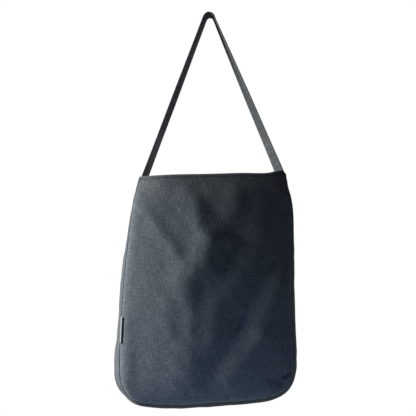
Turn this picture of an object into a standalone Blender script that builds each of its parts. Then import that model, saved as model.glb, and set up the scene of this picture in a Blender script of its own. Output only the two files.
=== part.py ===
"""Shopper bag in dark linen canvas, hanging by its narrow shoulder strap.

A front and a back panel are joined by one gusset band, which runs down the left
side, round the bottom and up the right side. A lining hangs inside, and the
strap's two feet are caught between it and the gusset. Metres, +Z up, the front
towards -Y. The origin is the middle of the strap's underside at its highest
point, where the bag hangs.
"""

import math
from collections import namedtuple

import bmesh
import bpy
import numpy as np
from mathutils import Vector

# Cloth and webbing
CLOTH = 0.0016
LINING_CLOTH = 0.0010
STRAP_WIDTH = 0.025
STRAP_THICKNESS = 0.002
LABEL_THICKNESS = 0.0010
GAP = 0.0003
SEAM_LIP = 0.0012
LINING_CLEARANCE = 0.0030
LINING_DROP = 0.003
FOOT_CLEARANCE = 0.0005

# Share of the strongest direction below which the faces that meet at a point count as one plane
SAME_PLANE = 0.15

# Panels: the rolled edge along the seam, the swell between, and the bow of the mouth
EDGE_ROLL_WIDTH = 0.028
EDGE_ROLL_HEIGHT = 0.009
FRONT_SWELL = 0.016
BACK_SWELL = 0.018
MOUTH_BOW = 0.006
CREST_ACROSS = 0.40
FULLEST_DOWN = 0.60
MOUTH_STIFF_DEPTH = 0.050

# Gusset: the fold at the mouth holds its form for a while and is gone further down
GUSSET_MOUTH_DEPTH = 0.046
FOLD_FULL_DOWN = 0.035
FOLD_GONE_DOWN = 0.160

# Strap: the part sewn in, and the round that it takes over whatever it hangs from
FOOT_LENGTH = 0.030
HANG_RADIUS = 0.0079

# Label
LABEL_LENGTH = 0.045
LABEL_WIDTH = 0.0062
LABEL_MIDDLE_Z = -0.559

# Cells of the meshes, and how far they crowd towards the rolled edges, from 0 to 1
CROWDING_ACROSS = 0.55
CROWDING_DOWN = 0.35
PANEL_CELLS_ACROSS = 20
PANEL_CELLS_DOWN = 24
LINING_CELLS_ACROSS = 14
LINING_CELLS_DOWN = 16
STRAND_CELLS = 9
ARC_CELLS = 8
FOOT_CELLS = 3
LABEL_CELLS = 5

# The front seam, from the left end of the mouth down, round the bottom and up to the right
# end. half_depth is half the way to the back seam, bulge is the gusset's outward swell, and
# back_in is how far inward of the front seam the back seam lies.
SeamRow = namedtuple("SeamRow", "place x z half_depth bulge back_in")
SEAM = (
    SeamRow("left_mouth", -0.1284, -0.2910, 0.0230, 0.000, 0.0045),
    SeamRow("left_neck", -0.1345, -0.3142, 0.0235, 0.000, 0.0035),
    SeamRow("left_shoulder", -0.1396, -0.3372, 0.0240, 0.001, 0.0015),
    SeamRow("left_flank_upper", -0.1481, -0.3989, 0.0255, 0.002, 0.0000),
    SeamRow("left_flank", -0.1568, -0.4800, 0.0270, 0.003, 0.0000),
    SeamRow("left_flank_lower", -0.1613, -0.5538, 0.0285, 0.003, 0.0000),
    SeamRow("left_hip", -0.1636, -0.6100, 0.0295, 0.007, 0.0000),
    SeamRow("left_corner_top", -0.1616, -0.6505, 0.0295, 0.008, 0.0000),
    SeamRow("left_corner", -0.1483, -0.6755, 0.0290, 0.007, 0.0000),
    SeamRow("left_corner_foot", -0.1262, -0.6906, 0.0290, 0.008, 0.0000),
    SeamRow("bottom_left", -0.0704, -0.6952, 0.0290, 0.010, 0.0000),
    SeamRow("bottom_middle", -0.0063, -0.6936, 0.0290, 0.010, 0.0000),
    SeamRow("bottom_right", 0.0692, -0.6895, 0.0290, 0.010, 0.0000),
    SeamRow("right_corner_foot", 0.1100, -0.6838, 0.0290, 0.010, 0.0000),
    SeamRow("right_corner", 0.1366, -0.6688, 0.0290, 0.010, 0.0000),
    SeamRow("right_corner_top", 0.1473, -0.6430, 0.0295, 0.010, 0.0000),
    SeamRow("right_hip", 0.1490, -0.6076, 0.0295, 0.010, 0.0000),
    SeamRow("right_flank_lower", 0.1461, -0.5395, 0.0280, 0.010, 0.0000),
    SeamRow("right_flank", 0.1456, -0.4572, 0.0270, 0.009, 0.0000),
    SeamRow("right_flank_upper", 0.1480, -0.3711, 0.0250, 0.007, 0.0000),
    SeamRow("right_shoulder", 0.1453, -0.3334, 0.0240, 0.004, 0.0000),
    SeamRow("right_neck", 0.1390, -0.3083, 0.0230, 0.001, 0.0000),
    SeamRow("right_mouth", 0.1343, -0.2834, 0.0220, 0.000, 0.0000),
)

# The front panel's mouth edge, from the left corner to the right one
MouthRow = namedtuple("MouthRow", "place x z")
MOUTH = (
    MouthRow("left_corner", -0.1284, -0.2910),
    MouthRow("left_ear", -0.1163, -0.2899),
    MouthRow("left", -0.0631, -0.2871),
    MouthRow("middle", -0.0059, -0.2859),
    MouthRow("right", 0.0516, -0.2841),
    MouthRow("right_dip", 0.0986, -0.2839),
    MouthRow("right_ear", 0.1262, -0.2792),
    MouthRow("right_corner", 0.1343, -0.2834),
)

# The gusset's fold at the mouth: how far back of the front seam, and how far inward
GussetFold = namedtuple("GussetFold", "place back left_in right_in")
GUSSET_FOLD = (
    GussetFold("front_seam", 0.0000, 0.0000, 0.0000),
    GussetFold("strap_front", 0.0092, 0.0009, -0.0022),
    GussetFold("strap_middle", 0.0213, 0.0066, 0.0029),
    GussetFold("strap_back", 0.0333, 0.0122, 0.0079),
    GussetFold("back_fold", 0.0395, 0.0100, 0.0060),
    GussetFold("back_seam", 0.0460, 0.0000, 0.0000),
)
GUSSET_CELLS = len(GUSSET_FOLD) - 1
STRAP_FRONT_COLUMN = 1
STRAP_BACK_COLUMN = 3

# How far the strap's width turns out of the front-to-back direction, as a sine
TurnRow = namedtuple("TurnRow", "place along turn")
STRAP_TURN = (
    TurnRow("left_mouth", 0.00, 0.454),
    TurnRow("left_low", 0.10, 0.400),
    TurnRow("left_middle", 0.25, 0.390),
    TurnRow("left_high", 0.41, 0.356),
    TurnRow("top", 0.50, 0.360),
    TurnRow("right_top", 0.52, -0.030),
    TurnRow("right_high", 0.59, 0.035),
    TurnRow("right_middle", 0.76, 0.220),
    TurnRow("right_low", 0.91, 0.315),
    TurnRow("right_mouth", 1.00, 0.420),
)

# Long folds of each panel, seen from the front: ends, half width, and height outward
FoldRow = namedtuple("FoldRow", "name x1 z1 x2 z2 width height")
FRONT_FOLDS = (
    FoldRow("upper_valley", 0.056, -0.305, 0.031, -0.376, 0.020, -0.0050),
    FoldRow("upper_valley_end", 0.031, -0.376, -0.006, -0.429, 0.018, -0.0035),
    FoldRow("upper_ridge", 0.081, -0.396, 0.006, -0.470, 0.018, 0.0040),
    FoldRow("upper_ridge_end", 0.006, -0.470, -0.044, -0.543, 0.016, 0.0030),
    FoldRow("lower_valley", 0.081, -0.445, 0.031, -0.519, 0.020, -0.0045),
    FoldRow("lower_valley_end", 0.031, -0.519, -0.040, -0.631, 0.018, -0.0030),
    FoldRow("lower_ridge", 0.106, -0.495, 0.031, -0.593, 0.020, 0.0035),
    FoldRow("lower_ridge_end", 0.031, -0.593, 0.006, -0.642, 0.018, 0.0020),
    FoldRow("right_hip_dent", 0.131, -0.595, 0.124, -0.563, 0.016, -0.0030),
    FoldRow("left_top_ridge", -0.049, -0.323, -0.049, -0.394, 0.018, 0.0025),
    FoldRow("left_shoulder_dimple", -0.118, -0.328, -0.102, -0.381, 0.012, -0.0035),
    FoldRow("corner_pucker", 0.118, -0.641, 0.104, -0.651, 0.010, -0.0015),
)
BACK_FOLDS = (
    FoldRow("left_drape", -0.090, -0.330, -0.040, -0.480, 0.022, -0.0045),
    FoldRow("left_drape_ridge", -0.060, -0.330, 0.000, -0.500, 0.020, 0.0035),
    FoldRow("right_drape", 0.085, -0.335, 0.045, -0.500, 0.022, -0.0045),
    FoldRow("low_ridge", -0.080, -0.600, 0.060, -0.560, 0.024, 0.0030),
    FoldRow("low_dent", 0.020, -0.520, 0.080, -0.600, 0.022, -0.0030),
)

# Finish of each piece: colour, roughness and metallic value
Finish = namedtuple("Finish", "colour roughness metallic")
CANVAS = Finish((0.082, 0.094, 0.105), 0.92, 0.0)
LINING_FINISH = Finish((0.46, 0.46, 0.45), 0.90, 0.0)
WEBBING = Finish((0.075, 0.080, 0.088), 0.85, 0.0)
LABEL_FINISH = Finish((0.42, 0.43, 0.44), 0.70, 0.0)


def smooth_between(before, start, end, after, t):
    """Value at t from start to end on the smooth curve through four values."""
    return 0.5 * (
        2 * start
        + (end - before) * t
        + (2 * before - 5 * start + 4 * end - after) * t ** 2
        + (3 * start - before - 3 * end + after) * t ** 3
    )


def ease(start, end, value):
    """0 before start, 1 after end, and a smooth rise between them."""
    t = min(max((value - start) / (end - start), 0.0), 1.0)
    return t * t * (3 - 2 * t)


class SmoothTable:
    """A smooth curve through a table's rows, read by the distance run along it."""

    STEPS = 12

    def __init__(self, rows):
        self.row_type = namedtuple("Place", rows[0]._fields[1:])
        values = np.array([row[1:] for row in rows])
        first = 2 * values[0] - values[1]
        last = 2 * values[-1] - values[-2]
        padded = np.vstack((first, values, last))
        points = []
        for i in range(len(rows) - 1):
            for step in range(self.STEPS):
                points.append(smooth_between(*padded[i:i + 4], step / self.STEPS))
        points.append(values[-1])
        self.points = np.array(points)
        steps = np.linalg.norm(np.diff(self.points[:, :2], axis=0), axis=1)
        self.run = np.concatenate(([0.0], np.cumsum(steps)))
        self.length = self.run[-1]
        self.places = {row.place: self.run[i * self.STEPS] for i, row in enumerate(rows)}

    def at(self, run):
        """Column values at a distance along the curve."""
        return self.row_type(*(float(np.interp(run, self.run, column)) for column in self.points.T))

    def run_at_depth(self, z):
        """Distance along the curve to its first place at a height."""
        lowest = int(np.argmin(self.points[:, 1]))
        return float(np.interp(-z, -self.points[:lowest, 1], self.run[:lowest]))

    def outward(self, run):
        """Unit normal of the curve in the XZ plane, to the outside of the bag."""
        step = 0.002
        before = self.at(max(run - step, 0.0))
        after = self.at(min(run + step, self.length))
        normal = Vector((after.z - before.z, 0.0, before.x - after.x))
        return normal.normalized()


seam_path = SmoothTable(SEAM)
mouth_path = SmoothTable(MOUTH)
BAG_MIDDLE = Vector((0.0, 0.0, -0.48))
LEFT_CORNER = seam_path.places["left_corner"]
RIGHT_CORNER = seam_path.places["right_corner"]


def crowded_across(t):
    """Fraction across a panel, with its cells crowded towards both side seams."""
    return t - CROWDING_ACROSS * math.sin(2 * math.pi * t) / (2 * math.pi)


def crowded_down(t):
    """Fraction down a panel, with its cells crowded towards the bottom seam."""
    return t + CROWDING_DOWN * math.sin(math.pi * t) / math.pi


def left_side_run(down):
    """Distance along the seam of a place on the left side, at its fraction down."""
    return down * LEFT_CORNER


def bottom_run(across):
    """Distance along the seam of a place on the bottom, at its fraction across."""
    return LEFT_CORNER + across * (RIGHT_CORNER - LEFT_CORNER)


def right_side_run(down):
    """Distance along the seam of a place on the right side, at its fraction down."""
    return seam_path.length - down * (seam_path.length - RIGHT_CORNER)


def seam_stations(cells_down, cells_across):
    """Distances along the seam of the panels' edge vertices, left mouth to right mouth."""
    downs = [crowded_down(i / cells_down) for i in range(cells_down + 1)]
    acrosses = [crowded_across(i / cells_across) for i in range(cells_across + 1)]
    left = [left_side_run(down) for down in downs]
    bottom = [bottom_run(across) for across in acrosses[1:]]
    right = [right_side_run(down) for down in reversed(downs[:-1])]
    return left + bottom + right


def seam_point(run, side):
    """Point of the front (side -1) or back (side +1) seam, at its distance along the seam."""
    row = seam_path.at(run)
    inward = row.back_in if side > 0 else 0.0
    return Vector((row.x, side * row.half_depth, row.z)) - seam_path.outward(run) * inward


def mouth_point(across, side):
    """Point of a panel's mouth edge, at its fraction across."""
    row = mouth_path.at(across * mouth_path.length)
    left = SEAM[0].half_depth
    right = SEAM[-1].half_depth
    depth = left + (right - left) * across + MOUTH_BOW * 4 * across * (1 - across)
    inward = SEAM[0].back_in * (1 - across) if side > 0 else 0.0
    return Vector((row.x, side * depth, row.z)) - seam_path.outward(0.0) * inward


def edge_rise(distance):
    """Part of the rolled edge's height reached at a distance in from the seam."""
    t = min(max(distance / EDGE_ROLL_WIDTH, 0.0), 1.0)
    return math.sqrt(1 - (1 - t) ** 2)


def swell_profile(across, down):
    """Part of the panel's swell at a place: fullest at the crest, none at the edges."""
    if across < CREST_ACROSS:
        side_part = math.sin(0.5 * math.pi * across / CREST_ACROSS)
    else:
        side_part = math.sin(0.5 * math.pi * (1 - across) / (1 - CREST_ACROSS))
    if down < FULLEST_DOWN:
        down_part = math.sin(0.5 * math.pi * down / FULLEST_DOWN)
    else:
        down_part = 1 - ((down - FULLEST_DOWN) / (1 - FULLEST_DOWN)) ** 3
    return side_part * down_part


def fold_height(x, z, folds):
    """Height outward of a panel's folds at a place seen from the front."""
    place = Vector((x, z))
    height = 0.0
    for fold in folds:
        start = Vector((fold.x1, fold.z1))
        run = Vector((fold.x2, fold.z2)) - start
        t = min(max((place - start).dot(run) / run.length_squared, 0.0), 1.0)
        distance = (place - start - run * t).length
        height += fold.height * math.exp(-((distance / fold.width) ** 2))
    return height


def panel_point(across, down, side):
    """Point of a panel's outer face, at its fractions across and down."""
    left = seam_point(left_side_run(down), side)
    right = seam_point(right_side_run(down), side)
    top = mouth_point(across, side)
    bottom = seam_point(bottom_run(across), side)
    sides = left * (1 - across) + right * across
    ends = top * (1 - down) + bottom * down
    top_corners = seam_point(0.0, side) * (1 - across) + seam_point(seam_path.length, side) * across
    bottom_corners = seam_point(LEFT_CORNER, side) * (1 - across) + seam_point(RIGHT_CORNER, side) * across
    flat = sides + ends - top_corners * (1 - down) - bottom_corners * down

    width = (right - left).length
    height = (bottom - top).length
    edge = edge_rise(across * width) * edge_rise((1 - across) * width) * edge_rise((1 - down) * height)
    below_mouth = ease(0.0, MOUTH_STIFF_DEPTH, down * height)
    folds, swell = (FRONT_FOLDS, FRONT_SWELL) if side < 0 else (BACK_FOLDS, BACK_SWELL)
    out = (
        EDGE_ROLL_HEIGHT * edge * below_mouth
        + swell * swell_profile(across, down)
        + fold_height(flat.x, flat.z, folds) * edge * below_mouth
    )
    return flat + Vector((0.0, side * out, 0.0))


def gusset_point(run, column):
    """Point of the gusset's outer face, by distance along the seam and column of its fold."""
    row = seam_path.at(run)
    fold = GUSSET_FOLD[column]
    across = column / GUSSET_CELLS
    from_mouth = min(run, seam_path.length - run)
    folded = 1 - ease(FOLD_FULL_DOWN, FOLD_GONE_DOWN, from_mouth)
    inward = fold.left_in if run < seam_path.length / 2 else fold.right_in
    depth = 2 * row.half_depth
    back = folded * fold.back * depth / GUSSET_MOUTH_DEPTH + (1 - folded) * across * depth
    out = row.bulge * 4 * across * (1 - across) * (1 - folded) - inward * folded - row.back_in * across
    return Vector((row.x, back - row.half_depth, row.z)) + seam_path.outward(run) * out


def add_grid(mesh, cells_across, cells_down, place):
    """Grid of vertices put where place(across, down) says; returns their fractions."""
    made = bmesh.ops.create_grid(mesh, x_segments=cells_across, y_segments=cells_down, size=0.5)
    fractions = {}
    for vertex in made["verts"]:
        across = round((vertex.co.x + 0.5) * cells_across) / cells_across
        down = round((0.5 - vertex.co.y) * cells_down) / cells_down
        fractions[vertex] = (across, down)
        vertex.co = place(across, down)
    return fractions


def face_outward(mesh, outside):
    """Turn the whole surface over where its faces look away from the outside."""
    mesh.normal_update()
    agreement = sum(face.normal.dot(outside(face.calc_center_median())) for face in mesh.faces)
    if agreement < 0:
        bmesh.ops.reverse_faces(mesh, faces=mesh.faces[:])
    mesh.normal_update()


def add_seam_lip(mesh, on_seam, shift_y):
    """Lengthen the surface past a seam edge, straight along Y, so that its rim is square."""
    edges = [edge for edge in mesh.edges if edge.is_boundary and all(map(on_seam, edge.verts))]
    grown = bmesh.ops.extrude_edge_only(mesh, edges=edges)["geom"]
    for vertex in (item for item in grown if isinstance(item, bmesh.types.BMVert)):
        vertex.co.y += shift_y


def new_material(name, finish):
    """Principled material of a piece."""
    material = bpy.data.materials.new(name)
    material.use_nodes = True
    shader = material.node_tree.nodes["Principled BSDF"]
    shader.inputs["Base Color"].default_value = (*finish.colour, 1.0)
    shader.inputs["Roughness"].default_value = finish.roughness
    shader.inputs["Metallic"].default_value = finish.metallic
    return material


def add_cloth(name, mesh, thickness, growth, finish, collection):
    """Piece of cloth: an open surface thickened inward (growth -1) or to both sides (0)."""
    data = bpy.data.meshes.new(name)
    mesh.to_mesh(data)
    mesh.free()
    data.shade_smooth()
    data.materials.append(new_material(name, finish))
    piece = bpy.data.objects.new(name, data)
    collection.objects.link(piece)
    wall = piece.modifiers.new("wall", "SOLIDIFY")
    wall.thickness = thickness
    wall.offset = growth
    wall.use_even_offset = True
    wall.use_quality_normals = True


def build_panel(name, side, collection):
    """Front (side -1) or back (side +1) panel: rolled edges, swell and folds."""
    stand_off = Vector((0.0, side * (SEAM_LIP + GAP / 2), 0.0))
    mesh = bmesh.new()
    fractions = add_grid(
        mesh,
        PANEL_CELLS_ACROSS,
        PANEL_CELLS_DOWN,
        lambda across, down: panel_point(crowded_across(across), crowded_down(down), side) + stand_off,
    )
    face_outward(mesh, lambda centre: Vector((0.0, side, 0.0)))
    seam = {vertex for vertex, (across, down) in fractions.items() if across in (0, 1) or down == 1}
    add_seam_lip(mesh, seam.__contains__, -side * SEAM_LIP)
    add_cloth(name, mesh, CLOTH, -1, CANVAS, collection)


def build_gusset(collection):
    """Gusset band: folded in at the mouth, swelling outward lower down."""
    stations = seam_stations(PANEL_CELLS_DOWN, PANEL_CELLS_ACROSS)
    draw_in = Vector((0.0, SEAM_LIP + GAP / 2, 0.0))

    def place(across, along):
        """Point of the gusset, drawn in at both seams to leave room for the lips."""
        point = gusset_point(stations[round(along * (len(stations) - 1))], round(across * GUSSET_CELLS))
        return point + draw_in * ((across == 0) - (across == 1))

    mesh = bmesh.new()
    fractions = add_grid(mesh, GUSSET_CELLS, len(stations) - 1, place)
    face_outward(mesh, lambda centre: centre - BAG_MIDDLE)
    front = {vertex for vertex, (across, along) in fractions.items() if across == 0}
    back = {vertex for vertex, (across, along) in fractions.items() if across == 1}
    add_seam_lip(mesh, front.__contains__, -SEAM_LIP)
    add_seam_lip(mesh, back.__contains__, SEAM_LIP)
    add_cloth("gusset", mesh, CLOTH, -1, CANVAS, collection)


def inward_shift(vertex, depth):
    """Shift that takes a vertex to the same depth behind every face around it."""
    normals = np.array([face.normal for face in vertex.link_faces])
    depths = np.full(len(normals), -depth)
    return Vector(np.linalg.lstsq(normals, depths, rcond=SAME_PLANE)[0])


def build_lining(collection):
    """Lining: one bag of thin cloth, hanging a little clear of the canvas."""
    stations = seam_stations(LINING_CELLS_DOWN, LINING_CELLS_ACROSS)
    mesh = bmesh.new()
    tops = set()
    for side in (-1, 1):
        fractions = add_grid(
            mesh,
            LINING_CELLS_ACROSS,
            LINING_CELLS_DOWN,
            lambda across, down: panel_point(crowded_across(across), crowded_down(down), side),
        )
        tops |= {vertex for vertex, (across, down) in fractions.items() if down == 0}
        if side < 0:
            bmesh.ops.reverse_faces(mesh, faces=mesh.faces[:])
    fractions = add_grid(
        mesh,
        GUSSET_CELLS,
        len(stations) - 1,
        lambda across, along: gusset_point(
            stations[round(along * (len(stations) - 1))], round(across * GUSSET_CELLS)
        ),
    )
    tops |= {vertex for vertex, (across, along) in fractions.items() if along in (0, 1)}
    for vertex in tops:
        vertex.co.z -= LINING_DROP
    bmesh.ops.remove_doubles(mesh, verts=mesh.verts[:], dist=GAP / 2)
    bmesh.ops.recalc_face_normals(mesh, faces=mesh.faces[:])
    face_outward(mesh, lambda centre: centre - BAG_MIDDLE)
    shifts = [inward_shift(vertex, CLOTH + LINING_CLEARANCE) for vertex in mesh.verts]
    for vertex, shift in zip(mesh.verts, shifts):
        vertex.co += shift
    add_cloth("lining", mesh, LINING_CLOTH, -1, LINING_FINISH, collection)


def foot_section(run):
    """Middle and width direction of a strap foot, clear of the inner face of the gusset."""
    front = gusset_point(run, STRAP_FRONT_COLUMN)
    back = gusset_point(run, STRAP_BACK_COLUMN)
    step = 0.004 if run < seam_path.length / 2 else -0.004
    down = gusset_point(run + step, STRAP_FRONT_COLUMN) - front
    down.normalize()
    width = back - front
    width -= down * width.dot(down)
    width.normalize()
    inward = width.cross(down)
    if inward.x * (front + back).x > 0:
        inward.negate()
    middle = (front + back) / 2 + inward * (CLOTH + FOOT_CLEARANCE + STRAP_THICKNESS / 2)
    return middle, width


def touching_point(outside, centre, radius, turn):
    """Point in the XZ plane where a line from outside touches a circle, on one side."""
    away = outside - centre
    angle = math.atan2(away.z, away.x) + turn * math.acos(radius / math.hypot(away.x, away.z))
    return centre + Vector((math.cos(angle), 0.0, math.sin(angle))) * radius


def strap_sections():
    """Middle and width direction of the strap, from the left foot over the top to the right."""
    left_foot = [foot_section(FOOT_LENGTH * (1 - i / FOOT_CELLS)) for i in range(FOOT_CELLS + 1)]
    right_foot = [foot_section(seam_path.length - FOOT_LENGTH * i / FOOT_CELLS) for i in range(FOOT_CELLS + 1)]
    left_mouth = left_foot[-1][0]
    right_mouth = right_foot[0][0]
    radius = HANG_RADIUS + STRAP_THICKNESS / 2
    centre = Vector((0.0, 0.0, -HANG_RADIUS))
    left_top = touching_point(left_mouth, centre, radius, -1)
    right_top = touching_point(right_mouth, centre, radius, 1)
    start = math.atan2(left_top.z - centre.z, left_top.x - centre.x)
    end = math.atan2(right_top.z - centre.z, right_top.x - centre.x)
    middles = [left_mouth.lerp(left_top, i / STRAND_CELLS) for i in range(1, STRAND_CELLS)]
    for i in range(ARC_CELLS + 1):
        angle = start + (end - start) * i / ARC_CELLS
        middles.append(centre + Vector((math.cos(angle), 0.0, math.sin(angle))) * radius)
    middles += [right_top.lerp(right_mouth, i / STRAND_CELLS) for i in range(1, STRAND_CELLS)]

    path = [left_mouth] + middles + [right_mouth]
    lengths = [(after - before).length for before, after in zip(path, path[1:])]
    turns = [row.turn for row in STRAP_TURN]
    alongs = [row.along for row in STRAP_TURN]
    sections = []
    for i, middle in enumerate(middles, start=1):
        along = sum(lengths[:i]) / sum(lengths)
        run = (path[i + 1] - path[i - 1]).normalized()
        turn = float(np.interp(along, alongs, turns))
        inward = Vector((run.z, 0.0, -run.x))
        sections.append((middle, Vector((0.0, math.sqrt(1 - turn * turn), 0.0)) + inward * turn))
    return left_foot + sections + right_foot


def build_strap(collection):
    """Webbing strap: two feet in the gusset, two straight strands, and the round at the top."""
    sections = strap_sections()

    def place(across, along):
        """Point of the strap's middle surface."""
        middle, width = sections[round(along * (len(sections) - 1))]
        return middle + width * STRAP_WIDTH * (across - 0.5)

    mesh = bmesh.new()
    add_grid(mesh, 2, len(sections) - 1, place)
    add_cloth("strap", mesh, STRAP_THICKNESS, 0, WEBBING, collection)


def build_label(collection):
    """Blank folded label, sewn into the left seam and lying on the front panel's rolled edge."""
    first_column = crowded_across(1 / PANEL_CELLS_ACROSS)
    lip = Vector((0.0, -SEAM_LIP - GAP / 2, 0.0))

    def place(across, along):
        """Point of the label's middle surface, just clear of the panel."""
        run = seam_path.run_at_depth(LABEL_MIDDLE_Z + LABEL_LENGTH * (0.5 - along))
        down = run / LEFT_CORNER
        root = panel_point(0.0, down, -1) + lip
        tip = panel_point(first_column, down, -1) + lip
        side = Vector((tip.x - root.x, tip.y - root.y, 0.0)).normalized()
        outward = Vector((side.y, -side.x, 0.0))
        clear = GAP + LABEL_THICKNESS / 2
        return root + side * LABEL_WIDTH * across + outward * clear

    mesh = bmesh.new()
    add_grid(mesh, 2, LABEL_CELLS, place)
    add_cloth("label", mesh, LABEL_THICKNESS, 0, LABEL_FINISH, collection)


def main():
    """Clear the scene and build every piece of the bag."""
    for item in list(bpy.data.objects):
        bpy.data.objects.remove(item)
    collection = bpy.data.collections.new("shopper_bag")
    bpy.context.scene.collection.children.link(collection)
    build_panel("front_panel", -1, collection)
    build_panel("back_panel", 1, collection)
    build_gusset(collection)
    build_lining(collection)
    build_strap(collection)
    build_label(collection)


main()
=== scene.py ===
"""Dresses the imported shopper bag: canvas, lining, webbing strap, label and stitching.

Metres, +Z up, the front towards -Y, and the origin where the strap hangs. The
seam, mouth and gusset tables repeat the solids' own. The swell, the folds and
the rolled edges are worked finer than theirs, for the looks, and each piece of
cloth is laid on that form with small cells and its real thickness.
"""

import logging
import math
from collections.abc import Sequence
from dataclasses import dataclass, field
from enum import Enum
from typing import NamedTuple

import bmesh
import bpy
import numpy as np
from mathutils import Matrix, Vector
from mathutils.kdtree import KDTree


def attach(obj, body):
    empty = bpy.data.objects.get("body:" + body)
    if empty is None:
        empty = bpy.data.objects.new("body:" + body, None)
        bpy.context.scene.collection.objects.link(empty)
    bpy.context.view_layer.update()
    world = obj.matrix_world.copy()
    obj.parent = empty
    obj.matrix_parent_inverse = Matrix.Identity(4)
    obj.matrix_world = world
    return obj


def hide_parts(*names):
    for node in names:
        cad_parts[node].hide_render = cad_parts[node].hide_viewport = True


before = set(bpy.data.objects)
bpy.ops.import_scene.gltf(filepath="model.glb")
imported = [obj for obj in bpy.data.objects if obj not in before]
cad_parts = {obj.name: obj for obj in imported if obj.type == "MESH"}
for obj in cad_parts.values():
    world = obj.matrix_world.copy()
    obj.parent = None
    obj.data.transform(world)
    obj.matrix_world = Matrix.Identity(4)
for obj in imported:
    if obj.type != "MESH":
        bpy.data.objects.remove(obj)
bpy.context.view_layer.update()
log = logging.getLogger("shopper_bag")

Colour = tuple[float, float, float]


class SeamRow(NamedTuple):
    """A place of the front seam, with the gusset's half depth, swell and back seam there."""

    place: str
    x: float
    z: float
    half_depth: float
    bulge: float
    back_in: float


class MouthRow(NamedTuple):
    """A place of the front panel's mouth edge."""

    place: str
    x: float
    z: float


class GussetFold(NamedTuple):
    """A line of the gusset's fold at the mouth: how far back, and how far inward."""

    place: str
    back: float
    left_in: float
    right_in: float


class TurnRow(NamedTuple):
    """How far the strap's width turns out of the front-to-back direction, as a sine."""

    place: str
    along: float
    turn: float


class FoldRow(NamedTuple):
    """A long fold or mark of a panel, seen from the front: ends, half width, height or strength."""

    name: str
    x1: float
    z1: float
    x2: float
    z2: float
    width: float
    height: float


SEAM = (
    SeamRow("left_mouth", -0.1284, -0.2910, 0.0230, 0.000, 0.0045),
    SeamRow("left_neck", -0.1345, -0.3142, 0.0235, 0.000, 0.0035),
    SeamRow("left_shoulder", -0.1396, -0.3372, 0.0240, 0.001, 0.0015),
    SeamRow("left_flank_upper", -0.1481, -0.3989, 0.0255, 0.002, 0.0000),
    SeamRow("left_flank", -0.1568, -0.4800, 0.0270, 0.003, 0.0000),
    SeamRow("left_flank_lower", -0.1613, -0.5538, 0.0285, 0.003, 0.0000),
    SeamRow("left_hip", -0.1636, -0.6100, 0.0295, 0.007, 0.0000),
    SeamRow("left_corner_top", -0.1616, -0.6505, 0.0295, 0.008, 0.0000),
    SeamRow("left_corner", -0.1483, -0.6755, 0.0290, 0.007, 0.0000),
    SeamRow("left_corner_foot", -0.1262, -0.6906, 0.0290, 0.008, 0.0000),
    SeamRow("bottom_left", -0.0704, -0.6952, 0.0290, 0.010, 0.0000),
    SeamRow("bottom_middle", -0.0063, -0.6936, 0.0290, 0.010, 0.0000),
    SeamRow("bottom_right", 0.0692, -0.6895, 0.0290, 0.010, 0.0000),
    SeamRow("right_corner_foot", 0.1100, -0.6838, 0.0290, 0.010, 0.0000),
    SeamRow("right_corner", 0.1366, -0.6688, 0.0290, 0.010, 0.0000),
    SeamRow("right_corner_top", 0.1473, -0.6430, 0.0295, 0.010, 0.0000),
    SeamRow("right_hip", 0.1490, -0.6076, 0.0295, 0.010, 0.0000),
    SeamRow("right_flank_lower", 0.1461, -0.5395, 0.0280, 0.010, 0.0000),
    SeamRow("right_flank", 0.1456, -0.4572, 0.0270, 0.009, 0.0000),
    SeamRow("right_flank_upper", 0.1480, -0.3711, 0.0250, 0.007, 0.0000),
    SeamRow("right_shoulder", 0.1453, -0.3334, 0.0240, 0.004, 0.0000),
    SeamRow("right_neck", 0.1390, -0.3083, 0.0230, 0.001, 0.0000),
    SeamRow("right_mouth", 0.1343, -0.2834, 0.0220, 0.000, 0.0000),
)

MOUTH = (
    MouthRow("left_corner", -0.1284, -0.2910),
    MouthRow("left_ear", -0.1163, -0.2899),
    MouthRow("left", -0.0631, -0.2871),
    MouthRow("middle", -0.0059, -0.2859),
    MouthRow("right", 0.0516, -0.2841),
    MouthRow("right_dip", 0.0986, -0.2839),
    MouthRow("right_ear", 0.1262, -0.2792),
    MouthRow("right_corner", 0.1343, -0.2834),
)

GUSSET_FOLD = (
    GussetFold("front_seam", 0.0000, 0.0000, 0.0000),
    GussetFold("strap_front", 0.0092, 0.0009, -0.0022),
    GussetFold("strap_middle", 0.0213, 0.0066, 0.0029),
    GussetFold("strap_back", 0.0333, 0.0122, 0.0079),
    GussetFold("back_fold", 0.0395, 0.0100, 0.0060),
    GussetFold("back_seam", 0.0460, 0.0000, 0.0000),
)
GUSSET_COLUMNS = len(GUSSET_FOLD) - 1
STRAP_FRONT_COLUMN = 1
STRAP_BACK_COLUMN = 3

# Rough sizes, for spacing the cells of the cloth, and a point inside the bag
PANEL_WIDTH = 0.29
PANEL_HEIGHT = 0.40
GUSSET_WIDTH = 0.055
BAG_MIDDLE = (0.0, 0.0, -0.48)

# Numbers that fix the unevenness of the cloth
PANEL_SEEDS = {"front_panel": 3, "back_panel": 11}
GUSSET_SEEDS = (21, 22, 23)
LINING_SEED = 31
WAVE_COUNT = 14
WAVE_LEVEL = 5.0

STRAP_TURN = (
    TurnRow("left_mouth", 0.00, 0.480),
    TurnRow("left_low", 0.10, 0.445),
    TurnRow("left_middle", 0.25, 0.435),
    TurnRow("left_high", 0.41, 0.375),
    TurnRow("top", 0.50, 0.360),
    TurnRow("right_top", 0.52, -0.030),
    TurnRow("right_high", 0.59, 0.070),
    TurnRow("right_middle", 0.76, 0.265),
    TurnRow("right_low", 0.91, 0.355),
    TurnRow("right_mouth", 1.00, 0.440),
)

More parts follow.
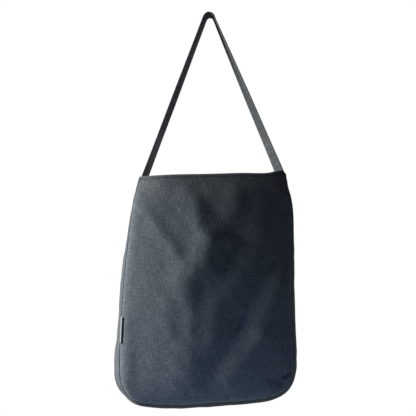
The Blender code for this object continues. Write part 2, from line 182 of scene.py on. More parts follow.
FRONT_FOLDS = (
    FoldRow("upper_valley", 0.076, -0.314, 0.044, -0.402, 0.022, -0.0007),
    FoldRow("upper_valley_end", 0.044, -0.402, -0.014, -0.490, 0.022, -0.0025),
    FoldRow("upper_ridge", 0.098, -0.395, 0.059, -0.459, 0.022, 0.0007),
    FoldRow("upper_ridge_end", 0.059, -0.459, -0.002, -0.540, 0.024, 0.0006),
    FoldRow("lower_valley", 0.098, -0.445, 0.048, -0.543, 0.020, -0.0030),
    FoldRow("lower_valley_end", 0.048, -0.543, -0.004, -0.642, 0.018, -0.0028),
    FoldRow("lower_ridge", 0.122, -0.487, 0.087, -0.575, 0.021, 0.0030),
    FoldRow("lower_ridge_end", 0.087, -0.575, 0.030, -0.650, 0.020, 0.0037),
    FoldRow("right_hip_ridge", 0.119, -0.583, 0.117, -0.620, 0.015, 0.0013),
    FoldRow("crest_ridge", -0.042, -0.322, -0.010, -0.400, 0.020, 0.0020),
    FoldRow("crest_ridge_low", -0.006, -0.404, -0.010, -0.450, 0.028, 0.0062),
    FoldRow("crest_ridge_end", -0.040, -0.454, -0.055, -0.508, 0.017, 0.0020),
    FoldRow("waist_ridge", 0.004, -0.522, 0.000, -0.587, 0.016, 0.0016),
    FoldRow("mouth_ridge", 0.042, -0.302, 0.050, -0.345, 0.015, 0.0010),
    FoldRow("right_shoulder_valley", 0.130, -0.300, 0.130, -0.410, 0.036, -0.0040),
    FoldRow("left_shoulder_ridge", -0.117, -0.353, -0.068, -0.421, 0.013, 0.0022),
    FoldRow("crest_patch", -0.030, -0.336, -0.026, -0.364, 0.015, 0.0012),
    FoldRow("crest_ridge_left", -0.058, -0.446, -0.064, -0.472, 0.016, 0.0022),
    FoldRow("upper_middle_ridge", 0.034, -0.332, 0.032, -0.400, 0.022, 0.0016),
    FoldRow("flank_ridge", -0.081, -0.512, -0.080, -0.566, 0.013, 0.0009),
    FoldRow("flank_valley", -0.058, -0.512, -0.057, -0.566, 0.013, -0.0009),
    FoldRow("left_edge_ridge", -0.151, -0.545, -0.149, -0.652, 0.012, 0.0011),
    FoldRow("low_left_ridge", -0.062, -0.622, -0.060, -0.668, 0.034, 0.0018),
    FoldRow("corner_pucker", 0.141, -0.642, 0.128, -0.650, 0.007, -0.0014),
    FoldRow("corner_pucker_low", 0.126, -0.662, 0.102, -0.653, 0.008, -0.0012),
)
# Painted shade along the creases at the front's lower right corner: ends, half width and strength.
CORNER_CREASE_SHADES = (
    FoldRow("upper", 0.141, -0.642, 0.129, -0.649, 0.0032, 0.80),
    FoldRow("lower", 0.125, -0.661, 0.104, -0.654, 0.0055, 0.60),
)
WORN_PATCHES = (
    FoldRow("mouth_corner", -0.119, -0.298, -0.104, -0.306, 0.015, 1.40),
)
BACK_FOLDS = (
    FoldRow("left_drape", -0.090, -0.330, -0.040, -0.480, 0.022, -0.0045),
    FoldRow("left_drape_ridge", -0.060, -0.330, 0.000, -0.500, 0.020, 0.0035),
    FoldRow("right_drape", 0.085, -0.335, 0.045, -0.500, 0.022, -0.0045),
    FoldRow("low_ridge", -0.080, -0.600, 0.060, -0.560, 0.024, 0.0030),
    FoldRow("low_dent", 0.020, -0.520, 0.080, -0.600, 0.022, -0.0030),
)


class Side(Enum):
    """Which of the bag's two panels a surface belongs to, as the sign of its Y."""

    FRONT = -1
    BACK = 1


class Slot(Enum):
    """The record's material slots."""

    CANVAS = "canvas"
    LINING = "lining"
    WEBBING = "webbing"
    LABEL = "label"


def smooth_between(four: np.ndarray, t: np.ndarray) -> np.ndarray:
    """Read the smooth curve through four rows, between the second and the third.

    Args:
        four: The four rows of values.
        t: Fractions from the second row to the third.

    Returns:
        One row of values for each fraction.
    """
    before, start, end, after = four
    t = np.asarray(t)[:, None]
    return 0.5 * (
        2 * start
        + (end - before) * t
        + (2 * before - 5 * start + 4 * end - after) * t ** 2
        + (3 * start - before - 3 * end + after) * t ** 3
    )


def ease(start: float, end: float, value: np.ndarray) -> np.ndarray:
    """Rise smoothly from 0 at start to 1 at end.

    Args:
        start: Where the rise begins.
        end: Where it is complete.
        value: Where it is read.

    Returns:
        Values from 0 to 1.
    """
    t = np.clip((value - start) / (end - start), 0.0, 1.0)
    return t * t * (3 - 2 * t)


def ridge(distance: np.ndarray, width: float) -> np.ndarray:
    """Height of a unit ridge at a distance from its line."""
    return np.exp(-((distance / width) ** 2))


def unit(vectors: np.ndarray) -> np.ndarray:
    """Vectors of the same directions and of length 1."""
    return vectors / np.maximum(np.linalg.norm(vectors, axis=-1, keepdims=True), 1e-12)


def run_lengths(points: np.ndarray) -> np.ndarray:
    """Distance from the first of a row of points to each of them, along the row."""
    steps = np.linalg.norm(np.diff(points, axis=0), axis=-1)
    return np.concatenate((np.zeros((1, *steps.shape[1:])), np.cumsum(steps, axis=0)))


class SmoothTable:
    """A smooth curve through a table's rows, read by the distance run along it."""

    STEPS = 24

    def __init__(self, rows: Sequence[NamedTuple]) -> None:
        """Draw the curve.

        Args:
            rows: The table, whose second and third columns are x and z.
        """
        values = np.array([row[1:] for row in rows], float)
        padded = np.vstack((2 * values[0] - values[1], values, 2 * values[-1] - values[-2]))
        fractions = np.arange(self.STEPS) / self.STEPS
        pieces = [smooth_between(padded[i:i + 4], fractions) for i in range(len(rows) - 1)]
        self.points = np.vstack([*pieces, values[-1:]])
        self.run = run_lengths(self.points[:, :2])
        self.length = float(self.run[-1])
        self.places = {row[0]: float(self.run[i * self.STEPS]) for i, row in enumerate(rows)}

    def at(self, run: np.ndarray) -> np.ndarray:
        """Read the table's columns.

        Args:
            run: Distances along the curve.

        Returns:
            The columns' values in the last axis.
        """
        run = np.asarray(run, float)
        return np.stack([np.interp(run, self.run, column) for column in self.points.T], axis=-1)

    def run_at_depth(self, z: float) -> float:
        """Distance along the curve to its first place at a height."""
        lowest = int(np.argmin(self.points[:, 1]))
        return float(np.interp(-z, -self.points[:lowest, 1], self.run[:lowest]))

    def outward(self, run: np.ndarray) -> np.ndarray:
        """Find the way out of the bag, square to the curve.

        Args:
            run: Distances along the curve.

        Returns:
            Unit vectors in the XZ plane.
        """
        step = 0.002
        run = np.asarray(run, float)
        before = self.at(np.maximum(run - step, 0.0))
        after = self.at(np.minimum(run + step, self.length))
        x = after[..., 1] - before[..., 1]
        z = before[..., 0] - after[..., 0]
        return unit(np.stack((x, np.zeros_like(x), z), axis=-1))


@dataclass
class BagForm:
    """The hanging bag's form: its seams, mouth, panels and gusset, without any thickness."""

    roll_width: float = 0.016
    roll_height: float = 0.0048
    front_swell: float = 0.022
    back_swell: float = 0.018
    mouth_bow: float = 0.014
    mouth_crest: float = 0.42
    mouth_round: float = 2.8
    swell_crest: float = 0.40
    swell_round: float = 1.3
    fullest_down: float = 0.60
    mouth_stiff_depth: float = 0.050
    gusset_mouth_depth: float = 0.046
    fold_full_down: float = 0.035
    fold_gone_down: float = 0.160
    seam: SmoothTable = field(default_factory=lambda: SmoothTable(SEAM))
    mouth: SmoothTable = field(default_factory=lambda: SmoothTable(MOUTH))

    def left_run(self, down: np.ndarray) -> np.ndarray:
        """Distance along the seam of places on the left side, at their fractions down."""
        return np.asarray(down) * self.seam.places["left_corner"]

    def right_run(self, down: np.ndarray) -> np.ndarray:
        """Distance along the seam of places on the right side, at their fractions down."""
        return self.seam.length - np.asarray(down) * (self.seam.length - self.seam.places["right_corner"])

    def bottom_run(self, across: np.ndarray) -> np.ndarray:
        """Distance along the seam of places on the bottom, at their fractions across."""
        left = self.seam.places["left_corner"]
        return left + np.asarray(across) * (self.seam.places["right_corner"] - left)

    def folded(self, run: np.ndarray) -> np.ndarray:
        """Part of the gusset's fold at the mouth that is left at distances along the seam."""
        return 1 - ease(self.fold_full_down, self.fold_gone_down, np.minimum(run, self.seam.length - run))

    def bridged(self, run: np.ndarray) -> np.ndarray:
        """Find how far in an inset back seam lies, where the lining bridges the folded corners.

        Args:
            run: Distances along the seam.

        Returns:
            Distances inward.
        """
        run = np.asarray(run, float)
        fold = GUSSET_FOLD[STRAP_BACK_COLUMN]
        return self.folded(run) * np.where(run < self.seam.length / 2, fold.left_in, fold.right_in)

    def seam_point(self, run: np.ndarray, side: Side, inset: float = 0.0) -> np.ndarray:
        """Find points of the front or the back seam.

        Args:
            run: Distances along the seam, from the left end of the mouth.
            side: The front or the back seam.
            inset: How far inside the bag's outer face the seam is taken.

        Returns:
            The points.
        """
        rows = self.seam.at(run)
        inward = inset + 0 * rows[..., 4]
        if side is Side.BACK:
            inward = inward + rows[..., 4] + (self.bridged(run) if inset else 0.0)
        point = np.stack((rows[..., 0], side.value * (rows[..., 2] - inset), rows[..., 1]), axis=-1)
        return point - self.seam.outward(run) * inward[..., None]

    def mouth_point(self, across: np.ndarray, side: Side, inset: float = 0.0) -> np.ndarray:
        """Find points of a panel's mouth edge.

        Args:
            across: Fractions from the left end to the right one.
            side: The front or the back panel.
            inset: How far inside the bag's outer face the edge is taken.

        Returns:
            The points.
        """
        rows = self.mouth.at(across * self.mouth.length)
        left, right = SEAM[0], SEAM[-1]
        depth = left.half_depth + (right.half_depth - left.half_depth) * across
        bow = self.mouth_bow * self.crest_profile(across, self.mouth_crest, self.mouth_round)
        depth = depth + bow - inset
        ends = np.array((0.0, self.seam.length))
        shift = self.seam_point(ends, side, inset) - self.seam_point(ends, Side.FRONT)
        shift[:, 1] = 0.0
        point = np.stack((rows[..., 0], side.value * depth, rows[..., 1]), axis=-1)
        return point + shift[0] * (1 - across)[:, None] + shift[1] * across[:, None]

    def edge_rise(self, distance: np.ndarray) -> np.ndarray:
        """Part of the rolled edge's height reached at a distance in from the seam."""
        t = np.clip(distance / self.roll_width, 0.0, 1.0)
        return np.sqrt(1 - (1 - t) ** 2)

    def crest_profile(self, across: np.ndarray, crest: float, roundness: float) -> np.ndarray:
        """Profile that rises from one edge to a crest and falls to the other edge.

        Args:
            across: Fractions across.
            crest: Fraction at which the crest lies.
            roundness: 1 for two straight slopes, and more for a rounder crest.

        Returns:
            Values from 0 to 1.
        """
        to_crest = np.clip(np.where(across < crest, across / crest, (1 - across) / (1 - crest)), 0.0, 1.0)
        return 1 - (1 - to_crest) ** roundness

    def swell_profile(self, across: np.ndarray, down: np.ndarray) -> np.ndarray:
        """Part of a panel's swell: fullest at the crest, none at the edges.

        Args:
            across: Fractions across.
            down: Fractions down.

        Returns:
            Values from 0 to 1.
        """
        above = np.sin(0.5 * np.pi * np.minimum(down / self.fullest_down, 1.0))
        below = 1 - np.maximum((down - self.fullest_down) / (1 - self.fullest_down), 0.0) ** 5
        part = np.where(down < self.fullest_down, above, below)
        return self.crest_profile(across, self.swell_crest, self.swell_round) * part

    def fold_height(self, x: np.ndarray, z: np.ndarray, folds: Sequence[FoldRow]) -> np.ndarray:
        """Add up the heights of folds, or the strengths of marks.

        Args:
            x: Places across, seen from the front.
            z: Their heights.
            folds: The folds or marks.

        Returns:
            Heights outward, or strengths from 0 up.
        """
        height = np.zeros_like(x)
        for fold in folds:
            run_x, run_z = fold.x2 - fold.x1, fold.z2 - fold.z1
            t = ((x - fold.x1) * run_x + (z - fold.z1) * run_z) / (run_x ** 2 + run_z ** 2)
            t = np.clip(t, 0.0, 1.0)
            distance = np.hypot(x - fold.x1 - run_x * t, z - fold.z1 - run_z * t)
            height += fold.height * ridge(distance, fold.width)
        return height

    def panel(self, across: np.ndarray, down: np.ndarray, side: Side, inset: float = 0.0) -> np.ndarray:
        """Build a panel's outer face.

        Args:
            across: Fractions across, from the left seam.
            down: Fractions down, from the mouth.
            side: The front or the back panel.
            inset: How far inside the bag's outer face the surface is taken.

        Returns:
            A grid of points, one row for each fraction down.
        """
        left = self.seam_point(self.left_run(down), side, inset)[:, None]
        right = self.seam_point(self.right_run(down), side, inset)[:, None]
        top = self.mouth_point(across, side, inset)[None]
        bottom = self.seam_point(self.bottom_run(across), side, inset)[None]
        a = across[None, :, None]
        d = down[:, None, None]
        corners = (left[0] * (1 - a) + right[0] * a) * (1 - d) + (left[-1] * (1 - a) + right[-1] * a) * d
        flat = left * (1 - a) + right * a + top * (1 - d) + bottom * d - corners

        width = np.linalg.norm(right - left, axis=-1)
        height = np.linalg.norm(bottom - top, axis=-1)
        a, d = a[..., 0], d[..., 0]
        edge = self.edge_rise(a * width) * self.edge_rise((1 - a) * width) * self.edge_rise((1 - d) * height)
        below_mouth = ease(0.0, self.mouth_stiff_depth, d * height)
        front = side is Side.FRONT
        folds = self.fold_height(flat[..., 0], flat[..., 2], FRONT_FOLDS if front else BACK_FOLDS)
        out = (
            self.roll_height * edge * below_mouth
            + (self.front_swell if front else self.back_swell) * self.swell_profile(a, d)
            + folds * edge * below_mouth
        )
        flat[..., 1] += side.value * out
        return flat

    def gusset(self, run: np.ndarray, column: np.ndarray, inset: float = 0.0) -> np.ndarray:
        """Build the gusset's outer face.

        Args:
            run: Distances along the seam, from the left end of the mouth.
            column: Columns of its fold, from 0 at the front seam.
            inset: How far inside the bag's outer face the surface is taken.

        Returns:
            A grid of points, one row for each distance.
        """
        values = np.array([row[1:] for row in GUSSET_FOLD])
        if inset:
            values[STRAP_BACK_COLUMN:, 1:] = values[STRAP_BACK_COLUMN, 1:]
        padded = np.vstack((2 * values[0] - values[1], values, 2 * values[-1] - values[-2]))
        first = np.minimum(column.astype(int), GUSSET_COLUMNS - 1)
        fold = np.vstack([smooth_between(padded[i:i + 4], [c - i])[0] for i, c in zip(first, column)])
        rows = self.seam.at(run)[:, None]
        across = (column / GUSSET_COLUMNS)[None]
        folded = self.folded(run)[:, None]
        inward = np.where(run[:, None] < self.seam.length / 2, fold[None, :, 1], fold[None, :, 2])
        depth = 2 * rows[..., 2]
        back = folded * fold[None, :, 0] * depth / self.gusset_mouth_depth + (1 - folded) * across * depth
        out = rows[..., 3] * 4 * across * (1 - across) * (1 - folded)
        out = out - inward * folded - rows[..., 4] * across - inset
        y = (back - rows[..., 2]) * (1 - inset / rows[..., 2])
        point = np.stack((rows[..., 0] + 0 * y, y, rows[..., 1] + 0 * y), axis=-1)
        return point + self.seam.outward(run)[:, None] * out[..., None]


def graded(length: float, cell: float, first: Sequence[float], last: Sequence[float]) -> np.ndarray:
    """Space the lines of a grid.

    Args:
        length: Length that the grid covers.
        cell: Size of its plain cells.
        first: Sizes of the finer cells at its start, in order.
        last: Sizes of the finer cells at its end, from the end inward.

    Returns:
        Fractions of the length, from 0 to 1.
    """
    middle = length - sum(first) - sum(last)
    count = max(1, round(middle / cell))
    steps = [*first, *[middle / count] * count, *reversed(last)]
    return np.concatenate(([0.0], np.cumsum(steps))) / length


def roll_cells(cell: float, smallest: float = 0.00006) -> list[float]:
    """Cells that follow a rolled edge, from the seam inward, as large as cell at most."""
    count = int((cell / smallest - 1) / 2)
    return [smallest * (2 * i + 1) for i in range(count)]


def hem_cells(cell: float, run: float = 0.0084, smallest: float = 0.0006) -> list[float]:
    """List even small cells over a hem and growing ones after it.

    Args:
        cell: Size that the growing cells stay under.
        run: Length that the even cells cover.
        smallest: Size of the even cells.

    Returns:
        The cells' sizes, from the edge down.
    """
    cells = [smallest] * round(run / smallest)
    while cells[-1] * 1.3 < cell:
        cells.append(cells[-1] * 1.3)
    return cells


def waves(x: np.ndarray, z: np.ndarray, shortest: float, longest: float, seed: int) -> np.ndarray:
    """Draw the slight unevenness of worn cloth, as a sum of waves in all directions.

    Args:
        x: Places across.
        z: Their heights.
        shortest: Shortest wavelength.
        longest: Longest wavelength.
        seed: Number that fixes the pattern.

    Returns:
        Heights, mostly between -1 and 1.
    """
    chance = np.random.default_rng(seed)
    total = np.zeros(np.broadcast(x, z).shape)
    for _ in range(WAVE_COUNT):
        wavelength = chance.uniform(shortest, longest)
        angle, phase = chance.uniform(0, 2 * np.pi, 2)
        along = x * math.cos(angle) + z * math.sin(angle)
        total += np.sin(2 * np.pi * along / wavelength + phase)
    return total / WAVE_LEVEL


class Graph:
    """Adds nodes to one node tree and links them."""

    def __init__(self, tree: bpy.types.NodeTree) -> None:
        """Take a node tree."""
        self.tree = tree

    def add(self, kind: str, inputs: dict | None = None, **settings: object) -> bpy.types.Node:
        """Add a node.

        Args:
            kind: The node's type.
            inputs: Values or other nodes' outputs, by the input's name or number.
            settings: The node's own properties.

        Returns:
            The new node.
        """
        node = self.tree.nodes.new(kind)
        for name, value in settings.items():
            setattr(node, name, value)
        for key, value in (inputs or {}).items():
            if isinstance(value, bpy.types.NodeSocket):
                self.tree.links.new(value, node.inputs[key])
            else:
                node.inputs[key].default_value = value
        return node

    def math(self, operation: str, *values: object) -> bpy.types.NodeSocket:
        """Result of a Math node on values or other nodes' outputs."""
        return self.add("ShaderNodeMath", dict(enumerate(values)), operation=operation).outputs[0]

    def scaled(self, vector: bpy.types.NodeSocket, x: object, y: object) -> bpy.types.NodeSocket:
        """Vector with its X and Y multiplied, and no Z."""
        factors = self.add("ShaderNodeCombineXYZ", {0: x, 1: y}).outputs[0]
        return self.add("ShaderNodeVectorMath", {0: vector, 1: factors}, operation="MULTIPLY").outputs[0]

    def noise(
        self, vector: bpy.types.NodeSocket, detail: float = 2.0, roughness: float = 0.5
    ) -> bpy.types.NodeSocket:
        """Noise of unit size, read at a vector."""
        values = {"Vector": vector, "Scale": 1.0, "Detail": detail, "Roughness": roughness}
        return self.add("ShaderNodeTexNoise", values).outputs[0]

    def between(
        self, value: bpy.types.NodeSocket, low: float, high: float, to_low: float, to_high: float
    ) -> bpy.types.NodeSocket:
        """Value mapped from one range to another, and held inside it."""
        values = dict(enumerate((value, low, high, to_low, to_high)))
        return self.add("ShaderNodeMapRange", values).outputs[0]

    def mix(self, factor: bpy.types.NodeSocket, first: object, second: object) -> bpy.types.NodeSocket:
        """Mix two colours.

        Args:
            factor: Share of the second colour.
            first: A colour, or a node's output.
            second: A colour, or a node's output.

        Returns:
            The mixed colour.
        """
        colours = [(*c, 1.0) if isinstance(c, tuple) else c for c in (first, second)]
        values = {0: factor, 6: colours[0], 7: colours[1]}
        return self.add("ShaderNodeMix", values, data_type="RGBA").outputs[2]


@dataclass(frozen=True)
class GroupSocket:
    """A named input or output of a node group."""

    name: str
    kind: str = "NodeSocketFloat"
    value: float = 0.0


def new_group(
    name: str, inputs: Sequence[GroupSocket], outputs: Sequence[GroupSocket]
) -> tuple[Graph, bpy.types.Node, bpy.types.Node]:
    """Start a shader node group.

    Args:
        name: The group's name.
        inputs: Its inputs.
        outputs: Its outputs.

    Returns:
        Its graph, its input node and its output node.
    """
    tree = bpy.data.node_groups.new(name, "ShaderNodeTree")
    for in_out, sockets in (("INPUT", inputs), ("OUTPUT", outputs)):
        for socket in sockets:
            made = tree.interface.new_socket(name=socket.name, in_out=in_out, socket_type=socket.kind)
            if in_out == "INPUT" and socket.kind == "NodeSocketFloat":
                made.default_value = socket.value
    graph = Graph(tree)
    return graph, graph.add("NodeGroupInput"), graph.add("NodeGroupOutput")


def woven_group() -> bpy.types.NodeTree:
    """Build the group for plain-woven threads with thick and thin places.

    Returns:
        The group, which reads a vector in metres along the cloth.
    """
    graph, given, out = new_group(
        "woven_threads",
        [
            GroupSocket("Vector", "NodeSocketVector"),
            GroupSocket("Thread Pitch", value=0.0013),
            GroupSocket("Slub Length", value=0.014),
        ],
        [GroupSocket("Height"), GroupSocket("Grain")],
    )
    vector = given.outputs["Vector"]
    fast = graph.math("DIVIDE", 1.0, given.outputs["Thread Pitch"])
    slow = graph.math("DIVIDE", 1.0, given.outputs["Slub Length"])
    warp = graph.noise(graph.scaled(vector, fast, slow))
    weft = graph.noise(graph.scaled(vector, slow, fast))
    grain = graph.between(graph.math("ADD", warp, weft), 0.72, 1.28, 0.0, 1.0)
    threads = graph.add("ShaderNodeSeparateXYZ", {0: graph.scaled(vector, fast, fast)})
    across = graph.math("SINE", graph.math("MULTIPLY", threads.outputs[0], math.pi))
    along = graph.math("SINE", graph.math("MULTIPLY", threads.outputs[1], math.pi))
    weave = graph.math("MULTIPLY_ADD", graph.math("MULTIPLY", across, along), 0.3, 0.3)
    height = graph.math("MULTIPLY_ADD", grain, 0.4, weave)
    graph.tree.links.new(height, out.inputs["Height"])
    graph.tree.links.new(grain, out.inputs["Grain"])
    return graph.tree


def fading_group() -> bpy.types.NodeTree:
    """Build the group for the uneven tone of dyed and handled cloth.

    Returns:
        The group, which reads a vector in metres along the cloth.
    """
    graph, given, out = new_group(
        "faded_patches",
        [GroupSocket("Vector", "NodeSocketVector"), GroupSocket("Patch Size", value=0.060)],
        [GroupSocket("Fade")],
    )
    size = graph.math("DIVIDE", 1.0, given.outputs["Patch Size"])
    noise = graph.noise(graph.scaled(given.outputs["Vector"], size, size), 4.0, 0.6)
    graph.tree.links.new(graph.between(noise, 0.30, 0.70, 0.0, 1.0), out.inputs["Fade"])
    return graph.tree


class Groups:
    """The shader node groups, built once and shared by the materials."""

    def __init__(self) -> None:
        """Build the groups."""
        self.woven = woven_group()
        self.fading = fading_group()


@dataclass(frozen=True)
class Surface:
    """How a cloth takes the light: its roughness where its tone is 0 and 1, relief, gloss and sheen."""

    rough_from: float
    rough_to: float
    relief: float
    relief_strength: float
    gloss: float = 0.5
    sheen: float = 0.0
    sheen_roughness: float = 0.5


class ClothMaterial:
    """A material in the making, whose patterns follow the cloth."""

    def __init__(self, name: str, groups: Groups) -> None:
        """Start the material.

        Args:
            name: The material's name.
            groups: The shared node groups.
        """
        self.groups = groups
        self.material = bpy.data.materials.new(name)
        self.material.use_nodes = True
        self.graph = Graph(self.material.node_tree)
        self.place = self.graph.add("ShaderNodeUVMap", uv_map="cloth").outputs[0]

    def threads(self, pitch: float, slub_length: float = 0.014) -> bpy.types.Node:
        """Lay plain-woven threads along the cloth.

        Args:
            pitch: Distance from thread to thread.
            slub_length: Length of their thick and thin places.

        Returns:
            The node, with the outputs Height and Grain.
        """
        inputs = {"Vector": self.place, "Thread Pitch": pitch, "Slub Length": slub_length}
        return self.graph.add("ShaderNodeGroup", inputs, node_tree=self.groups.woven)

    def fade(self, patch_size: float) -> bpy.types.NodeSocket:
        """Uneven tone from 0 to 1, in patches of about a given size."""
        inputs = {"Vector": self.place, "Patch Size": patch_size}
        return self.graph.add("ShaderNodeGroup", inputs, node_tree=self.groups.fading).outputs["Fade"]

    def stored(self, name: str) -> bpy.types.NodeSocket:
        """Number that the mesh stores for each of its points under a name."""
        return self.graph.add("ShaderNodeAttribute", attribute_name=name).outputs["Fac"]

    def finished(
        self,
        surface: Surface,
        colour: bpy.types.NodeSocket,
        tone: bpy.types.NodeSocket,
        height: bpy.types.NodeSocket,
    ) -> bpy.types.Material:
        """Link the patterns to the shader.

        Args:
            surface: How the cloth takes the light.
            colour: The cloth's colour.
            tone: The tone from 0 to 1 that its roughness follows.
            height: The height of its fine relief.

        Returns:
            The finished material.
        """
        rough = self.graph.between(tone, 0.0, 1.0, surface.rough_from, surface.rough_to)
        relief = {"Height": height, "Strength": surface.relief_strength, "Distance": surface.relief}
        bump = self.graph.add("ShaderNodeBump", relief).outputs[0]
        shader = self.material.node_tree.nodes["Principled BSDF"]
        for name, socket in (("Base Color", colour), ("Roughness", rough), ("Normal", bump)):
            self.graph.tree.links.new(socket, shader.inputs[name])
        shader.inputs["Specular IOR Level"].default_value = surface.gloss
        shader.inputs["Sheen Weight"].default_value = surface.sheen
        shader.inputs["Sheen Roughness"].default_value = surface.sheen_roughness
        return self.material


@dataclass(frozen=True)
class CanvasFinish:
    """Dark linen canvas: threads with slubs, uneven dye, paler edges of wear and painted highlight, and
    painted shade in creases.
    """

    name: str = "slate_canvas"
    dark: Colour = (0.030, 0.041, 0.056)
    light: Colour = (0.134, 0.156, 0.181)
    faded: Colour = (0.098, 0.116, 0.138)
    # Paler tint of the edges: partly wear, partly a painted highlight beside the seams.
    rub_and_highlight_tint: Colour = (0.190, 0.200, 0.208)
    # Near-black painted shade, for the seam creases, the hem's stitch groove and the gusset.
    painted_shade_tint: Colour = (0.010, 0.012, 0.016)
    pitch: float = 0.0009
    slub_pitch: float = 0.0020
    slub_length: float = 0.012
    slub_share: float = 0.65
    patch_size: float = 0.055
    fade_share: float = 0.32
    rub_and_highlight_shares: tuple[float, float] = (0.1, 0.5)
    painted_shade_share: float = 0.85
    thread_relief: float = 0.4
    surface: Surface = Surface(0.97, 0.86, 0.00026, 0.8, gloss=0.30, sheen=0.12, sheen_roughness=0.45)

    def material(self, groups: Groups) -> bpy.types.Material:
        """Build the material.

        Args:
            groups: The shared node groups.

        Returns:
            The material.
        """
        cloth = ClothMaterial(self.name, groups)
        graph = cloth.graph
        threads = cloth.threads(self.pitch)
        slubs = cloth.threads(self.slub_pitch, self.slub_length).outputs["Grain"]
        fine = graph.math("MULTIPLY", threads.outputs["Grain"], 1 - self.slub_share)
        grain = graph.math("MULTIPLY_ADD", slubs, self.slub_share, fine)
        fade = graph.math("MULTIPLY", cloth.fade(self.patch_size), self.fade_share)
        # Paler edge tint (wear and painted highlight) and painted shade, as the mesh's marks store them.
        rub_and_highlight = graph.math("MULTIPLY", cloth.stored("rub_and_highlight"), graph.between(grain, 0.2, 0.9, *self.rub_and_highlight_shares))
        crease = graph.math("MULTIPLY", cloth.stored("crease"), self.painted_shade_share)
        colour = graph.mix(grain, self.dark, self.light)
        for share, tint in ((fade, self.faded), (rub_and_highlight, self.rub_and_highlight_tint), (crease, self.painted_shade_tint)):
            colour = graph.mix(share, colour, tint)
        height = graph.math("MULTIPLY_ADD", threads.outputs["Height"], self.thread_relief, slubs)
        return cloth.finished(self.surface, colour, grain, height)


@dataclass(frozen=True)
class LiningFinish:
    """Pale grey lining cloth with rough dark stripes across, as if laid on with a dry brush."""

    name: str = "striped_lining"
    ground: Colour = (0.58, 0.57, 0.55)
    shaded: Colour = (0.47, 0.46, 0.45)
    stripe: Colour = (0.028, 0.028, 0.030)
    pitch: float = 0.0008
    slub_length: float = 0.010
    wander: tuple[float, float] = (0.16, 0.05)
    stroke: tuple[float, float] = (0.11, 0.019)
    bristle: tuple[float, float] = (0.03, 0.0012)
    wander_share: float = 0.10
    bristle_share: float = 0.30
    ink_from: float = 0.720
    ink_full: float = 0.750
    surface: Surface = Surface(0.90, 0.72, 0.0002, 0.5, gloss=0.30)

    def material(self, groups: Groups) -> bpy.types.Material:
        """Build the material.

        Args:
            groups: The shared node groups.

        Returns:
            The material.
        """
        cloth = ClothMaterial(self.name, groups)
        graph = cloth.graph
        threads = cloth.threads(self.pitch, self.slub_length)

        def streaks(size: tuple[float, float], detail: float, roughness: float = 0.5) -> bpy.types.NodeSocket:
            """Noise in streaks of a width across the cloth and a height down it."""
            return graph.noise(graph.scaled(cloth.place, 1 / size[0], 1 / size[1]), detail, roughness)

        wander, strokes = streaks(self.wander, 2.0), streaks(self.stroke, 0.0)
        ink = graph.math("MULTIPLY_ADD", wander, self.wander_share, strokes)
        ink = graph.math("MULTIPLY_ADD", streaks(self.bristle, 3.0, 0.7), self.bristle_share, ink)
        inked = graph.between(ink, self.ink_from, self.ink_full, 0.0, 1.0)
        ground = graph.mix(threads.outputs["Grain"], self.shaded, self.ground)
        colour = graph.mix(inked, ground, self.stripe)
        return cloth.finished(self.surface, colour, inked, threads.outputs["Height"])


@dataclass(frozen=True)
class WebbingFinish:
    """Dark strap webbing with slanting ribs and closer threads at its edges."""

    name: str = "twill_webbing"
    dark: Colour = (0.050, 0.056, 0.064)
    light: Colour = (0.117, 0.124, 0.132)
    pitch: float = 0.0009
    slub_length: float = 0.008
    patch_size: float = 0.02
    rib: float = 0.0021
    rib_slant: float = 1.25
    half_width: float = 0.0125
    selvedge_width: float = 0.0022
    selvedge_blend: float = 0.0008
    selvedge_pitch: float = 0.0012
    plain_tone: float = 0.15
    grain_share: float = 0.40
    pattern_share: float = 0.18
    fade_share: float = 0.30
    pattern_relief: float = 0.5
    surface: Surface = Surface(0.90, 0.74, 0.0004, 0.8, gloss=0.35, sheen=0.10)

    def material(self, groups: Groups) -> bpy.types.Material:
        """Build the material.

        Args:
            groups: The shared node groups.

        Returns:
            The material.
        """
        cloth = ClothMaterial(self.name, groups)
        graph = cloth.graph
        threads = cloth.threads(self.pitch, self.slub_length)
        across, along = graph.add("ShaderNodeSeparateXYZ", {0: cloth.place}).outputs[:2]
        slant = graph.math("MULTIPLY_ADD", across, self.rib_slant, along)
        ribs = graph.math("SINE", graph.math("MULTIPLY", slant, 2 * math.pi / self.rib))
        selvedge = graph.math("SINE", graph.math("MULTIPLY", along, 2 * math.pi / self.selvedge_pitch))
        start = self.half_width - self.selvedge_width
        edge = graph.between(graph.math("ABSOLUTE", across), start, start + self.selvedge_blend, 0.0, 1.0)
        pattern = graph.add("ShaderNodeMix", {0: edge, 2: ribs, 3: selvedge}).outputs[0]
        tone = graph.math("MULTIPLY_ADD", threads.outputs["Grain"], self.grain_share, self.plain_tone)
        tone = graph.math("MULTIPLY_ADD", pattern, self.pattern_share, tone)
        tone = graph.math("MULTIPLY_ADD", cloth.fade(self.patch_size), self.fade_share, tone)
        colour = graph.mix(tone, self.dark, self.light)
        height = graph.math("MULTIPLY_ADD", pattern, self.pattern_relief, threads.outputs["Height"])
        return cloth.finished(self.surface, colour, tone, height)


